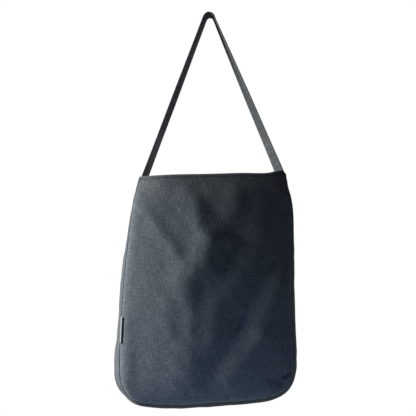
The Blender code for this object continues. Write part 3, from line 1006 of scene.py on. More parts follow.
@dataclass(frozen=True)
class LabelFinish:
    """Blank woven label: a pale strip beside the seam and a black one along the fold."""

    name: str = "woven_label"
    pale: Colour = (0.30, 0.33, 0.35)
    black: Colour = (0.0012, 0.0012, 0.0015)
    pale_width: float = 0.0048
    half_blend: float = 0.0001
    pitch: float = 0.0004
    slub_length: float = 0.004
    pale_low: float = 0.86
    black_high: float = 1.5
    surface: Surface = Surface(0.90, 0.75, 0.0001, 0.5, gloss=0.08)

    def material(self, groups: Groups) -> bpy.types.Material:
        """Build the material.

        Args:
            groups: The shared node groups.

        Returns:
            The material.
        """
        cloth = ClothMaterial(self.name, groups)
        graph = cloth.graph
        threads = cloth.threads(self.pitch, self.slub_length)
        grain = threads.outputs["Grain"]
        across = graph.add("ShaderNodeSeparateXYZ", {0: cloth.place}).outputs[0]
        start, end = self.pale_width - self.half_blend, self.pale_width + self.half_blend
        band = graph.between(across, start, end, 0.0, 1.0)
        pale = graph.mix(grain, tuple(c * self.pale_low for c in self.pale), self.pale)
        black = graph.mix(grain, self.black, tuple(c * self.black_high for c in self.black))
        return cloth.finished(self.surface, graph.mix(band, pale, black), grain, threads.outputs["Height"])


@dataclass(frozen=True)
class ThreadFinish:
    """Dark sewing thread, twisted from fine plies."""

    name: str = "sewing_thread"
    dark: Colour = (0.010, 0.012, 0.015)
    light: Colour = (0.040, 0.045, 0.052)
    ply: float = 0.0005
    patch_size: float = 0.004
    plain_tone: float = 0.3
    fade_share: float = 0.4
    ply_share: float = 0.25
    surface: Surface = Surface(0.75, 0.60, 0.00008, 0.4)

    def material(self, groups: Groups) -> bpy.types.Material:
        """Build the material.

        Args:
            groups: The shared node groups.

        Returns:
            The material.
        """
        cloth = ClothMaterial(self.name, groups)
        graph = cloth.graph
        parts = graph.add("ShaderNodeSeparateXYZ", {0: cloth.place})
        slant = graph.math("ADD", parts.outputs[0], parts.outputs[1])
        plies = graph.math("SINE", graph.math("MULTIPLY", slant, 2 * math.pi / self.ply))
        tone = graph.math("MULTIPLY_ADD", cloth.fade(self.patch_size), self.fade_share, self.plain_tone)
        tone = graph.math("MULTIPLY_ADD", plies, self.ply_share, tone)
        return cloth.finished(self.surface, graph.mix(tone, self.dark, self.light), tone, plies)


def set_cloth_map(mesh: bpy.types.Mesh, places: np.ndarray) -> None:
    """Give a mesh the map of where each vertex lies on its cloth, in metres.

    Args:
        mesh: The mesh.
        places: Two numbers for each vertex.
    """
    corners = np.empty(len(mesh.loops), np.int32)
    mesh.loops.foreach_get("vertex_index", corners)
    layer = mesh.uv_layers.new(name="cloth")
    layer.uv.foreach_set("vector", places[corners].astype(np.float32).ravel())


def vertex_normals(mesh: bpy.types.Mesh) -> np.ndarray:
    """Read the unit normals of a mesh's vertices.

    Args:
        mesh: The mesh.

    Returns:
        One normal for each vertex.
    """
    normals = np.empty(len(mesh.vertices) * 3, np.float32)
    mesh.vertex_normals.foreach_get("vector", normals)
    return normals.reshape(-1, 3).astype(float)


def new_piece(
    name: str, mesh: bpy.types.Mesh, material: bpy.types.Material, nodes: Sequence[str] = ()
) -> bpy.types.Object:
    """Put a finished mesh into the scene as a piece of the bag.

    Args:
        name: The piece's name.
        mesh: Its mesh.
        material: Its material.
        nodes: The solids that it stands for.

    Returns:
        The new object.
    """
    mesh.shade_smooth()
    mesh.materials.clear()
    mesh.materials.append(material)
    piece = bpy.data.objects.new(name, mesh)
    bpy.context.scene.collection.objects.link(piece)
    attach(piece, "root")
    if nodes:
        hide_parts(*nodes)
    triangles = sum(len(face.vertices) - 2 for face in mesh.polygons)
    log.info("%s: %d triangles, %s", name, triangles, material.name)
    return piece


def grid_faces(rows: int, columns: int, flip: bool) -> np.ndarray:
    """List a grid's four-sided faces.

    Args:
        rows: Its rows of vertices.
        columns: Its columns of vertices.
        flip: Whether the faces look the other way.

    Returns:
        Four vertex numbers for each face.
    """
    number = np.arange(rows * columns).reshape(rows, columns)
    faces = np.stack((number[:-1, :-1], number[1:, :-1], number[1:, 1:], number[:-1, 1:]), axis=-1)
    faces = faces.reshape(-1, 4)
    return faces[:, ::-1] if flip else faces


class ClothSheet:
    """A piece of cloth with its real thickness and rounded edges, made from a grid of points."""

    EDGE_STEPS = 4

    def __init__(self, points: np.ndarray, flip: bool) -> None:
        """Take the outer face.

        Args:
            points: A grid of points.
            flip: Whether its faces look the other way.
        """
        self.rows, self.columns = points.shape[:2]
        self.points = points.reshape(-1, 3)
        self.flip = flip
        middle = self.columns // 2
        grid = self.points.reshape(points.shape)
        along = run_lengths(grid)
        across = run_lengths(grid.transpose(1, 0, 2)).T
        self.places = np.stack((across - across[:, middle:middle + 1], -along), axis=-1).reshape(-1, 2)

    @property
    def grid(self) -> np.ndarray:
        """The outer face as rows and columns of points."""
        return self.points.reshape(self.rows, self.columns, 3)

    def normals(self) -> np.ndarray:
        """Find the unit normals of the outer face.

        Returns:
            One normal for each point.
        """
        mesh = bpy.data.meshes.new("outer_face")
        mesh.from_pydata(self.points, [], grid_faces(self.rows, self.columns, self.flip))
        normals = vertex_normals(mesh)
        bpy.data.meshes.remove(mesh)
        return normals

    def raise_by(self, heights: np.ndarray) -> None:
        """Move each point of the outer face along its normal."""
        self.points = self.points + self.normals() * heights.reshape(-1, 1)

    def rim(self) -> tuple[np.ndarray, np.ndarray]:
        """Walk round the grid's edge.

        Returns:
            The vertex numbers in order, and the number of the next vertex inward of each.
        """
        number = np.arange(self.rows * self.columns).reshape(self.rows, self.columns)
        inner = number[1:-1, 1:-1]
        inner = np.pad(inner, 1, mode="edge")

        def walk(grid: np.ndarray) -> np.ndarray:
            """Edge values of a grid, once round."""
            return np.concatenate((grid[0, :-1], grid[:-1, -1], grid[-1, :0:-1], grid[:0:-1, 0]))

        return walk(number), walk(inner)

    def thicken(self, name: str, thickness: np.ndarray, fullness: float = 1.0) -> bpy.types.Mesh:
        """Build the closed mesh.

        Args:
            name: The mesh's name.
            thickness: The cloth's thickness at each point of the grid, or one for all.
            fullness: How far the edges bulge, from 0 for square to 1 for round.

        Returns:
            The mesh, with its cloth map.
        """
        normals = self.normals()
        thickness = np.broadcast_to(thickness, (self.rows, self.columns)).reshape(-1, 1)
        inner = self.points - normals * thickness
        edge, inside = self.rim()
        tangent = unit(self.points[np.roll(edge, -1)] - self.points[np.roll(edge, 1)])
        away = self.points[edge] - self.points[inside]
        away -= tangent * np.sum(away * tangent, axis=1, keepdims=True)
        away -= normals[edge] * np.sum(away * normals[edge], axis=1, keepdims=True)
        away = unit(away)
        half = thickness[edge] / 2
        middle = self.points[edge] - normals[edge] * half
        count = len(self.points)
        rings = [edge]
        points = [self.points, inner]
        places = [self.places, self.places]
        for step in range(1, self.EDGE_STEPS):
            angle = math.pi * step / self.EDGE_STEPS
            bulge = normals[edge] * math.cos(angle) + away * math.sin(angle) * fullness
            rings.append(2 * count + (step - 1) * len(edge) + np.arange(len(edge)))
            points.append(middle + bulge * half)
            places.append(self.places[edge])
        rings.append(edge + count)
        outer_faces = grid_faces(self.rows, self.columns, self.flip)
        faces = [outer_faces, outer_faces[:, ::-1] + count]
        for ring, after in zip(rings, rings[1:]):
            band = np.stack((ring, np.roll(ring, -1), np.roll(after, -1), after), axis=-1)
            faces.append(band[:, ::-1] if self.flip else band)
        mesh = bpy.data.meshes.new(name)
        mesh.from_pydata(np.vstack(points), [], np.vstack(faces))
        set_cloth_map(mesh, np.vstack(places))
        return mesh


@dataclass(frozen=True)
class StitchRow:
    """Straight stitches of sewing thread that lie on a line of the cloth."""

    pitch: float = 0.0032
    length: float = 0.0026
    radius: float = 0.00030

    LIFT = (-0.9, 0.35, 0.7, 0.35, -0.9)
    GIRTH = (0.55, 1.0, 1.0, 1.0, 0.55)
    SIDES = 6

    def rings(self, line: np.ndarray, normals: np.ndarray) -> np.ndarray:
        """Lay the stitches.

        Args:
            line: Points of the line, on the cloth's face.
            normals: The face's normals there.

        Returns:
            Points by stitch, ring and side.
        """
        run = run_lengths(line)
        count = max(1, int(run[-1] / self.pitch))
        start = (run[-1] - count * self.pitch) / 2 + (self.pitch - self.length) / 2
        first = start + np.arange(count) * self.pitch
        along = first[:, None] + np.linspace(0, self.length, len(self.LIFT))[None]
        middle = np.stack([np.interp(along, run, column) for column in line.T], axis=-1)
        up = unit(np.stack([np.interp(along, run, column) for column in normals.T], axis=-1))
        forward = unit(middle[:, -1:] - middle[:, :1])
        aside = unit(np.cross(up, forward))
        middle = middle + up * (np.array(self.LIFT)[None, :, None] * self.radius)
        angles = np.arange(self.SIDES) * 2 * np.pi / self.SIDES
        circle = np.cos(angles)[:, None] * aside[:, :, None] + np.sin(angles)[:, None] * up[:, :, None]
        return middle[:, :, None] + circle * (np.array(self.GIRTH)[None, :, None, None] * self.radius)

    def mesh(self, name: str, lines: Sequence[tuple[np.ndarray, np.ndarray]]) -> bpy.types.Mesh:
        """Build the stitches of one or more lines as one mesh.

        Args:
            name: The mesh's name.
            lines: Each line's points and normals.

        Returns:
            The mesh, with its cloth map.
        """
        rings = np.concatenate([self.rings(*line) for line in lines])
        stitches, steps, sides = rings.shape[:3]
        number = np.arange(steps * sides).reshape(steps, sides)
        around = np.roll(number, -1, axis=1)
        tube = np.stack((number[:-1], around[:-1], around[1:], number[1:]), axis=-1).reshape(-1, 4)
        faces: list[list[int]] = []
        for stitch in range(stitches):
            first = stitch * steps * sides
            faces += (tube + first).tolist()
            faces.append((number[0, ::-1] + first).tolist())
            faces.append((number[-1] + first).tolist())
        mesh = bpy.data.meshes.new(name)
        mesh.from_pydata(rings.reshape(-1, 3), [], faces)
        along = np.broadcast_to(np.linspace(0, self.length, steps)[:, None], (steps, sides))
        about = np.broadcast_to((np.arange(sides) * self.radius)[None], (steps, sides))
        set_cloth_map(mesh, np.tile(np.stack((about, along), axis=-1).reshape(-1, 2), (stitches, 1)))
        return mesh


@dataclass
class Hem:
    """The turned-in edge of the mouth, with the stitch line that holds it."""

    stitch_down: float = 0.0052
    groove: float = 0.00032
    groove_width: float = 0.0011
    tug: float = 0.35
    tug_pitch: float = 0.0032
    puff: float = 0.00025
    puff_width: float = 0.0018
    depth: float = 0.0150
    taper_before: float = 0.0020
    taper: float = 0.0030
    drop: float = 0.0003
    drop_reach: float = 0.006

    def height(self, below: np.ndarray, along: np.ndarray) -> np.ndarray:
        """Relief of the hem on the cloth's outer face.

        Args:
            below: Distances below the mouth edge.
            along: Distances along the mouth.

        Returns:
            Heights outward.
        """
        tug = 1 + self.tug * np.sin(2 * np.pi * along / self.tug_pitch)
        line = -self.groove * tug * ridge(below - self.stitch_down, self.groove_width)
        above = self.puff * ridge(below - 0.5 * self.stitch_down, self.puff_width)
        double = 1 - ease(self.depth - self.taper_before, self.depth + self.taper, below)
        return line + above + self.puff * double

    def lowered(self, below: np.ndarray) -> np.ndarray:
        """How much lower the points beside the mouth edge hang, in one row."""
        return self.drop * (1 - ease(0.0, self.drop_reach, below.ravel()))


@dataclass
class Canvas:
    """The bag's outer cloth: a front panel, a back panel and one gusset band, with a hemmed mouth."""

    form: BagForm
    finish: bpy.types.Material
    thread: bpy.types.Material
    hem: Hem = field(default_factory=Hem)
    cloth: float = 0.0016
    hem_cloth: float = 0.0029
    gusset_hem_cloth: float = 0.0019
    strap_columns: tuple[float, float] = (1.15, 2.85)
    strap_rows: tuple[float, float] = (0.0105, 0.0270)
    cell: float = 0.0026
    gusset_cell: float = 0.0022
    gap: float = 0.0002
    crease: float = 0.0028
    crease_width: float = 0.0013
    mouth_crease: float = 0.25
    # Painted shade: the whole gusset darker, and darker still towards the bottom.
    gusset_painted_shade: float = 0.24
    bottom_painted_shade: float = 0.60
    bottom_painted_shade_from: float = 0.640
    bottom_painted_shade_full: float = 0.690
    pucker: float = 0.00016
    pucker_width: float = 0.010
    pucker_in: float = 0.005
    unevenness: float = 0.00035
    seam_calm: float = 0.25
    pressed: float = 0.55
    pressed_width: float = 0.0020
    # Paler edge tint at the mouth and, partly as a painted highlight, beside the seams.
    mouth_rub: float = 0.4
    seam_rub_and_highlight: float = 0.7
    seam_rub_and_highlight_in: float = 0.0052
    rub_and_highlight_width: float = 0.0022
    # Painted shade along the hem's stitch groove and in the seam creases.
    stitch_painted_shade: float = 0.4
    stitch_painted_shade_width: float = 0.0008
    crease_painted_shade: tuple[float, float] = (0.0010, 0.0036)

    def seam_relief(
        self, points: np.ndarray, side: Side, seed: int
    ) -> tuple[np.ndarray, np.ndarray, np.ndarray]:
        """Find the crease and the puckers that a seam leaves in the cloth beside it.

        Args:
            points: Points of the cloth.
            side: The seam.
            seed: Number that fixes the puckers.

        Returns:
            Heights outward, moves into the crease, and distances from the seam.
        """
        runs = np.arange(0.0, self.form.seam.length, 0.001)
        line = self.form.seam_point(runs, side)
        tree = KDTree(len(runs))
        for i, point in enumerate(line):
            tree.insert(point, i)
        tree.balance()
        found = [tree.find(point)[1:] for point in points]
        run = runs[[index for index, _ in found]]
        distance = np.array([length for _, length in found])
        pinch = waves(run, np.zeros_like(run), 0.007, 0.030, seed)
        heights = self.pucker * pinch * ridge(distance - self.pucker_in, self.pucker_width)
        from_mouth = np.minimum(run, self.form.seam.length - run)
        depth = self.crease * (self.mouth_crease + (1 - self.mouth_crease) * ease(0.004, 0.035, from_mouth))
        moves = self.form.seam.outward(run) * (-depth * np.exp(-distance / self.crease_width))[:, None]
        return heights, moves, distance

    def cloth_at(self, hem_cloth: float, below: np.ndarray, distance: np.ndarray) -> np.ndarray:
        """Thickness of the cloth: doubled in the hem, and pressed thin beside a seam.

        Args:
            hem_cloth: Thickness of the hem.
            below: Distances below the mouth edge.
            distance: Distances from the nearest seam.

        Returns:
            Thicknesses.
        """
        hemmed = 1 - ease(self.hem.depth, self.hem.depth + self.hem.taper, below)
        pressed = 1 - self.pressed * np.exp(-distance.reshape(below.shape) / self.pressed_width)
        return (self.cloth + (hem_cloth - self.cloth) * hemmed) * pressed

    def mark(
        self,
        mesh: bpy.types.Mesh,
        below: np.ndarray,
        distance: np.ndarray,
        painted_shade_marks: np.ndarray,
        worn: np.ndarray | float = 0.0,
    ) -> None:
        """Store each point's paler edge tint (wear and painted highlight) and its painted shade, from 0 for
        none.

        Args:
            mesh: The piece's mesh.
            below: Distances below the mouth edge.
            distance: Distances from the nearest seam.
            painted_shade_marks: Painted shade away from its seams.
            worn: How much paler with wear it is away from its seams.
        """
        below = below.ravel()
        at_mouth = self.mouth_rub * ridge(below, self.rub_and_highlight_width)
        at_seam = self.seam_rub_and_highlight * ridge(distance - self.seam_rub_and_highlight_in, self.rub_and_highlight_width)
        stitched = self.stitch_painted_shade * ridge(below - self.hem.stitch_down, self.stitch_painted_shade_width)
        # The crease mark is painted shade: beside the seams, along the hem's stitch groove, and the given
        # marks.
        marks = {
            "rub_and_highlight": np.maximum(at_mouth, at_seam) + worn,
            "crease": np.max((1 - ease(*self.crease_painted_shade, distance), stitched, painted_shade_marks), axis=0),
        }
        for name, values in marks.items():
            whole = np.zeros(len(mesh.vertices), np.float32)
            whole[:len(values)] = values
            mesh.attributes.new(name, "FLOAT", "POINT").data.foreach_set("value", whole)

    def panel(self, side: Side) -> tuple[np.ndarray, np.ndarray]:
        """Build a panel.

        Args:
            side: The front or the back panel.

        Returns:
            The points of its stitch line and the normals there.
        """
        front = side is Side.FRONT
        name = "front_panel" if front else "back_panel"
        seed = PANEL_SEEDS[name]
        across = graded(PANEL_WIDTH, self.cell, roll_cells(self.cell), roll_cells(self.cell))
        down = graded(PANEL_HEIGHT, self.cell, hem_cells(self.cell), roll_cells(self.cell))
        sheet = ClothSheet(self.form.panel(across, down, side), flip=not front)
        below = -sheet.places[:, 1].reshape(sheet.rows, sheet.columns)
        along = sheet.places[:, 0].reshape(sheet.rows, sheet.columns)
        seam_height, seam_move, distance = self.seam_relief(sheet.points, side, seed)
        inside = ease(0.0, 0.030, distance)
        grid = sheet.grid
        uneven = waves(grid[..., 0], grid[..., 2], 0.022, 0.070, seed + 1)
        uneven = self.unevenness * uneven * ease(0.0, 0.030, below)
        height = self.hem.height(below, along) + uneven
        sheet.raise_by(height.ravel() * np.maximum(inside, self.seam_calm) + seam_height)
        sheet.points += seam_move
        sheet.points[:, 2] -= self.hem.lowered(below)
        sheet.points[:, 1] += side.value * self.gap
        row = int(np.argmin(np.abs(below[:, sheet.columns // 2] - self.hem.stitch_down)))
        stitches = slice(6, -6)
        line = sheet.grid[row, stitches]
        normals = sheet.normals().reshape(sheet.grid.shape)[row, stitches]
        mesh = sheet.thicken(name + "_cloth", self.cloth_at(self.hem_cloth, below, distance), 0.8)
        x, z = sheet.points[:, 0], sheet.points[:, 2]
        # Painted shade in the creases at the front's lower right corner.
        painted_shade_marks = self.form.fold_height(x, z, CORNER_CREASE_SHADES if front else ())
        worn = self.form.fold_height(x, z, WORN_PATCHES if front else ())
        self.mark(mesh, below, distance, painted_shade_marks, worn)
        new_piece(name + "_cloth", mesh, self.finish, [name])
        return line, normals

    def gusset(self) -> list[tuple[np.ndarray, np.ndarray]]:
        """Build the gusset band.

        Returns:
            The points and normals of its stitch lines: the hem's, and a box over each strap foot.
        """
        length = self.form.seam.length
        run = graded(length, self.cell, hem_cells(self.cell), hem_cells(self.cell)) * length
        fine = [0.0005, 0.0005, 0.0006, 0.0008, 0.0010, 0.0014]
        column = graded(GUSSET_WIDTH, self.gusset_cell, fine, fine) * GUSSET_COLUMNS
        sheet = ClothSheet(self.form.gusset(run, column), flip=False)
        if np.sum(sheet.normals() * (sheet.points - np.array(BAG_MIDDLE))) < 0:
            sheet.flip = True
        front_seed, back_seed, face_seed = GUSSET_SEEDS
        front_height, front_move, front_distance = self.seam_relief(sheet.points, Side.FRONT, front_seed)
        back_height, back_move, back_distance = self.seam_relief(sheet.points, Side.BACK, back_seed)
        distance = np.minimum(front_distance, back_distance)
        below = np.broadcast_to(np.minimum(run, length - run)[:, None], (sheet.rows, sheet.columns))
        along = sheet.places[:, 0].reshape(sheet.rows, sheet.columns)
        station = np.broadcast_to(run[:, None], below.shape)
        uneven = waves(station, along, 0.020, 0.060, face_seed) * ease(0.0, 0.030, below) * self.unevenness
        inside = ease(0.0, 0.015, distance).reshape(below.shape)
        height = (self.hem.height(below, along) + uneven) * np.maximum(inside, self.seam_calm)
        sheet.raise_by(height.ravel() + front_height + back_height)
        sheet.points += front_move + back_move
        squeeze = self.gap * ((column == column[-1]).astype(float) - (column == column[0]))
        sheet.points[:, 1] -= np.tile(squeeze, sheet.rows)
        sheet.points[:, 2] -= self.hem.lowered(below)
        normals = sheet.normals().reshape(sheet.grid.shape)
        lines = []

        def stitch(rows: slice | int, columns: slice | int) -> None:
            """Add the stitch line that lies on a part of the grid."""
            lines.append((sheet.grid[rows, columns], normals[rows, columns]))

        first, last = (int(np.argmin(np.abs(column - c))) for c in self.strap_columns)
        from_mouth = np.array((self.hem.stitch_down, *self.strap_rows))
        for ends in (from_mouth, length - from_mouth):
            hem_row, near, far = (int(np.argmin(np.abs(run - end))) for end in ends)
            stitch(hem_row, slice(3, -3))
            box = slice(min(near, far), max(near, far) + 1)
            stitch(near, slice(first, last + 1))
            stitch(far, slice(first, last + 1))
            stitch(box, first)
            stitch(box, last)
        mesh = sheet.thicken("gusset_cloth", self.cloth_at(self.gusset_hem_cloth, below, distance), 0.8)
        # Painted shade: the whole gusset darker, and darker still towards the bottom.
        at_bottom = ease(self.bottom_painted_shade_from, self.bottom_painted_shade_full, -sheet.points[:, 2])
        self.mark(mesh, below, distance, self.gusset_painted_shade + self.bottom_painted_shade * at_bottom)
        new_piece("gusset_cloth", mesh, self.finish, ["gusset"])
        return lines

    def build(self) -> None:
        """Build the panels, the gusset and the stitching round the mouth."""
        lines = [self.panel(Side.FRONT), self.panel(Side.BACK), *self.gusset()]
        mesh = StitchRow().mesh("mouth_stitching", lines)
        new_piece("mouth_stitching", mesh, self.thread)


@dataclass
class Lining:
    """The lining: one bag of thin cloth, hanging a little clear of the canvas."""

    form: BagForm
    finish: bpy.types.Material
    clearance: float = 0.0046
    cloth: float = 0.0008
    drop: float = 0.0030
    unevenness: float = 0.0006
    cells_across: int = 60
    cells_down: int = 74
    gusset_columns: int = 16
    seam_crowding: float = 0.75
    bottom_crowding: float = 0.60

    def build(self) -> None:
        """Build the lining as one closed shell and replace the solid one."""
        t = np.linspace(0.0, 1.0, self.cells_across + 1)
        across = t - self.seam_crowding * np.sin(2 * np.pi * t) / (2 * np.pi)
        t = np.linspace(0.0, 1.0, self.cells_down + 1)
        down = t + self.bottom_crowding * np.sin(np.pi * t) / np.pi
        down = down / down[-1]
        run = np.concatenate((
            self.form.left_run(down),
            self.form.bottom_run(across[1:]),
            self.form.right_run(down[::-1])[1:],
        ))
        column = np.linspace(0.0, GUSSET_COLUMNS, self.gusset_columns)
        grids = [
            self.form.panel(across, down, Side.FRONT, self.clearance),
            self.form.panel(across, down, Side.BACK, self.clearance),
            self.form.gusset(run, column, self.clearance),
        ]
        points, faces, places = [], [], []
        count = 0
        for grid in grids:
            sheet = ClothSheet(grid, flip=False)
            points.append(sheet.points)
            places.append(sheet.places)
            faces.append(grid_faces(sheet.rows, sheet.columns, False) + count)
            count += len(sheet.points)
        points = np.vstack(points)
        uneven = waves(points[:, 0] + 2 * points[:, 1], points[:, 2], 0.025, 0.080, LINING_SEED)
        mouth = self.form.mouth.points
        below = np.interp(points[:, 0], mouth[:, 0], mouth[:, 1]) - points[:, 2]
        points[:, 1] += np.sign(points[:, 1]) * uneven * self.unevenness * ease(0.010, 0.060, below)
        points[:, 2] -= self.drop * (1 - ease(0.0, 0.012, below))
        mesh = bpy.data.meshes.new("lining_face")
        mesh.from_pydata(points, [], np.vstack(faces))
        set_cloth_map(mesh, np.vstack(places))
        work = bmesh.new()
        work.from_mesh(mesh)
        bmesh.ops.remove_doubles(work, verts=work.verts[:], dist=0.0002)
        bmesh.ops.recalc_face_normals(work, faces=work.faces[:])
        work.to_mesh(mesh)
        work.free()
        piece = new_piece("lining_cloth", mesh, self.finish, ["lining"])
        wall = piece.modifiers.new("wall", "SOLIDIFY")
        wall.thickness = self.cloth
        wall.offset = -1


@dataclass
class Strap:
    """The webbing strap: two feet sewn in at the mouth, two strands, and the round at the top."""

    form: BagForm
    finish: bpy.types.Material
    width: float = 0.025
    thickness: float = 0.0019
    cloth: float = 0.0016
    foot_clearance: float = 0.0005
    foot_length: float = 0.030
    hang_radius: float = 0.0079
    strand_cells: int = 90
    arc_cells: int = 30
    foot_cells: int = 14
    cells_across: int = 14
    turn_smoothing: int = 7

    def foot_section(self, run: float) -> tuple[np.ndarray, np.ndarray]:
        """Find the middle and the width direction of a strap foot.

        Args:
            run: Distance along the seam.

        Returns:
            A point and a unit vector.
        """
        step = 0.004 if run < self.form.seam.length / 2 else -0.004
        columns = np.array((STRAP_FRONT_COLUMN, STRAP_BACK_COLUMN), float)
        here, below = self.form.gusset(np.array((run, run + step)), columns)
        front, back = here
        down = unit(below[0] - front)
        width = back - front
        width = unit(width - down * np.dot(width, down))
        inward = np.cross(width, down)
        if inward[0] * (front + back)[0] > 0:
            inward = -inward
        depth = self.cloth + self.foot_clearance + self.thickness / 2
        return (front + back) / 2 + inward * depth, width

    def touching(self, outside: np.ndarray, centre: np.ndarray, radius: float, turn: int) -> float:
        """Angle at which a line from outside touches a circle in the XZ plane, on one side."""
        away = outside - centre
        return math.atan2(away[2], away[0]) + turn * math.acos(radius / math.hypot(away[0], away[2]))

    def sections(self) -> tuple[np.ndarray, np.ndarray]:
        """Follow the strap from its left foot over the top to its right foot.

        Returns:
            The middles and the width directions of its sections.
        """
        length = self.form.seam.length
        steps = np.linspace(0.0, self.foot_length, self.foot_cells + 1)
        left = [self.foot_section(run) for run in steps[::-1]]
        right = [self.foot_section(length - run) for run in steps]
        left_mouth, right_mouth = left[-1][0], right[0][0]
        radius = self.hang_radius + self.thickness / 2
        centre = np.array((0.0, 0.0, -self.hang_radius))
        start = self.touching(left_mouth, centre, radius, -1) % (2 * math.pi)
        end = self.touching(right_mouth, centre, radius, 1)
        angles = np.linspace(start, end, self.arc_cells + 1)
        arc = centre + radius * np.stack((np.cos(angles), 0 * angles, np.sin(angles)), axis=-1)
        t = np.linspace(0.0, 1.0, self.strand_cells + 1)[:, None]
        up = left_mouth * (1 - t) + arc[0] * t
        down = arc[-1] * (1 - t) + right_mouth * t
        middles = np.vstack((up[:-1], arc, down[1:]))
        run = run_lengths(middles)
        turn = np.interp(run / run[-1], [row.along for row in STRAP_TURN], [row.turn for row in STRAP_TURN])
        kernel = np.hanning(self.turn_smoothing)
        padded = np.pad(turn, self.turn_smoothing // 2, mode="edge")
        turn = np.convolve(padded, kernel / kernel.sum(), mode="valid")
        forward = unit(np.gradient(middles, axis=0))
        inward = np.stack((forward[:, 2], 0 * turn, -forward[:, 0]), axis=-1)
        widths = inward * turn[:, None]
        widths[:, 1] = np.sqrt(1 - turn ** 2)
        middles = np.vstack(([m for m, _ in left[:-1]], middles, [m for m, _ in right[1:]]))
        widths = np.vstack(([w for _, w in left[:-1]], widths, [w for _, w in right[1:]]))
        for _ in range(2):
            widths[1:-1] = unit(widths[:-2] + 2 * widths[1:-1] + widths[2:])
        return middles, widths

    def build(self) -> None:
        """Build the strap as one long band of webbing."""
        middles, widths = self.sections()
        across = np.linspace(-0.5, 0.5, self.cells_across + 1)
        points = middles[:, None] + widths[:, None] * (across * self.width)[None, :, None]
        sheet = ClothSheet(points, flip=False)
        if sheet.normals()[len(sheet.points) // 2][2] < 0:
            sheet.flip = True
        sheet.places[:, 0] = np.tile(across * self.width, sheet.rows)
        sheet.raise_by(np.full(len(sheet.points), self.thickness / 2))
        mesh = sheet.thicken("strap_webbing", np.array(self.thickness), 0.9)
        new_piece("strap_webbing", mesh, self.finish, ["strap"])


@dataclass
class Label:
    """The blank label: a strip of woven tape, folded once and sewn into the left seam."""

    form: BagForm
    finish: bpy.types.Material
    length: float = 0.045
    width: float = 0.0062
    middle_z: float = -0.559
    tape: float = 0.00035
    layer_gap: float = 0.00050
    stand_off: float = 0.00055
    root: float = 0.0024
    cell: float = 0.0026
    rows: int = 25

    def surface(self, down: float) -> tuple[np.ndarray, np.ndarray, np.ndarray]:
        """Follow the front panel's rolled edge at one height.

        Args:
            down: Fraction down the panel.

        Returns:
            Distances from the seam, points, and directions out of the panel.
        """
        edge = np.cumsum(roll_cells(self.cell))
        across = np.concatenate(([0.0], edge, [PANEL_WIDTH])) / PANEL_WIDTH
        line = self.form.panel(across, np.array((0.0, down, 1.0)), Side.FRONT)[1][:-1]
        forward = unit(np.gradient(line, axis=0) * (1.0, 1.0, 0.0))
        out = np.stack((forward[:, 1], -forward[:, 0], 0 * forward[:, 0]), axis=-1)
        return run_lengths(line), line, out

    def build(self) -> None:
        """Build the folded tape, lying on the front panel's rolled edge."""
        turn = np.linspace(-0.5 * np.pi, 0.5 * np.pi, 7)
        radius = self.layer_gap / 2
        flat = np.linspace(0.0, self.width - radius, 13)
        reach = np.concatenate((flat[:-1], flat[-1] + radius * np.cos(turn), flat[-2::-1])) + self.root
        lift = np.concatenate((0 * flat[:-1], radius + radius * np.sin(turn), 0 * flat[:-1] + 2 * radius))
        lift += self.stand_off
        rows = []
        for along in np.linspace(0.0, 1.0, self.rows):
            run = self.form.seam.run_at_depth(self.middle_z + self.length * (0.5 - along))
            from_seam, line, out = self.surface(run / self.form.seam.places["left_corner"])
            at = np.stack([np.interp(reach, from_seam, values) for values in line.T], axis=-1)
            up = np.stack([np.interp(reach, from_seam, values) for values in out.T], axis=-1)
            rows.append(at + unit(up) * lift[:, None])
        sheet = ClothSheet(np.array(rows), flip=True)
        sheet.places[:, 0] = np.tile(reach, sheet.rows)
        mesh = sheet.thicken("folded_label", np.array(self.tape), 1.0)
        new_piece("folded_label", mesh, self.finish, ["label"])


@dataclass(frozen=True)
class Lamp:
    """A soft square light that looks at the bag and isn't seen itself."""

    name: str
    azimuth: float
    elevation: float
    power: float
    size: float
    colour: Colour
    aim_z: float = -0.45
    distance: float = 1.9


LAMPS = (
    Lamp("key", -85.0, 14.0, 90.0, 0.80, (1.00, 0.99, 0.945)),
    Lamp("front_fill", 18.0, -2.0, 1.42, 0.90, (1.00, 0.78, 0.62)),
    Lamp("low_fill", 2.0, -25.0, 0.60, 0.35, (0.37, 0.60, 1.00), -0.67, 0.45),
    Lamp("low_left_fill", -60.0, -15.0, 0.16, 0.35, (0.20, 0.48, 1.00), -0.64, 0.60),
    Lamp("inner_fill", 0.0, 90.0, 0.06, 0.04, (1.00, 1.00, 1.00), -0.45, 0.25),
    Lamp("back_fill", 165.0, 18.0, 12.0, 1.20, (0.97, 0.98, 1.00)),
    Lamp("right_fill", 108.0, 8.0, 5.0, 0.90, (0.97, 0.98, 1.00)),
)


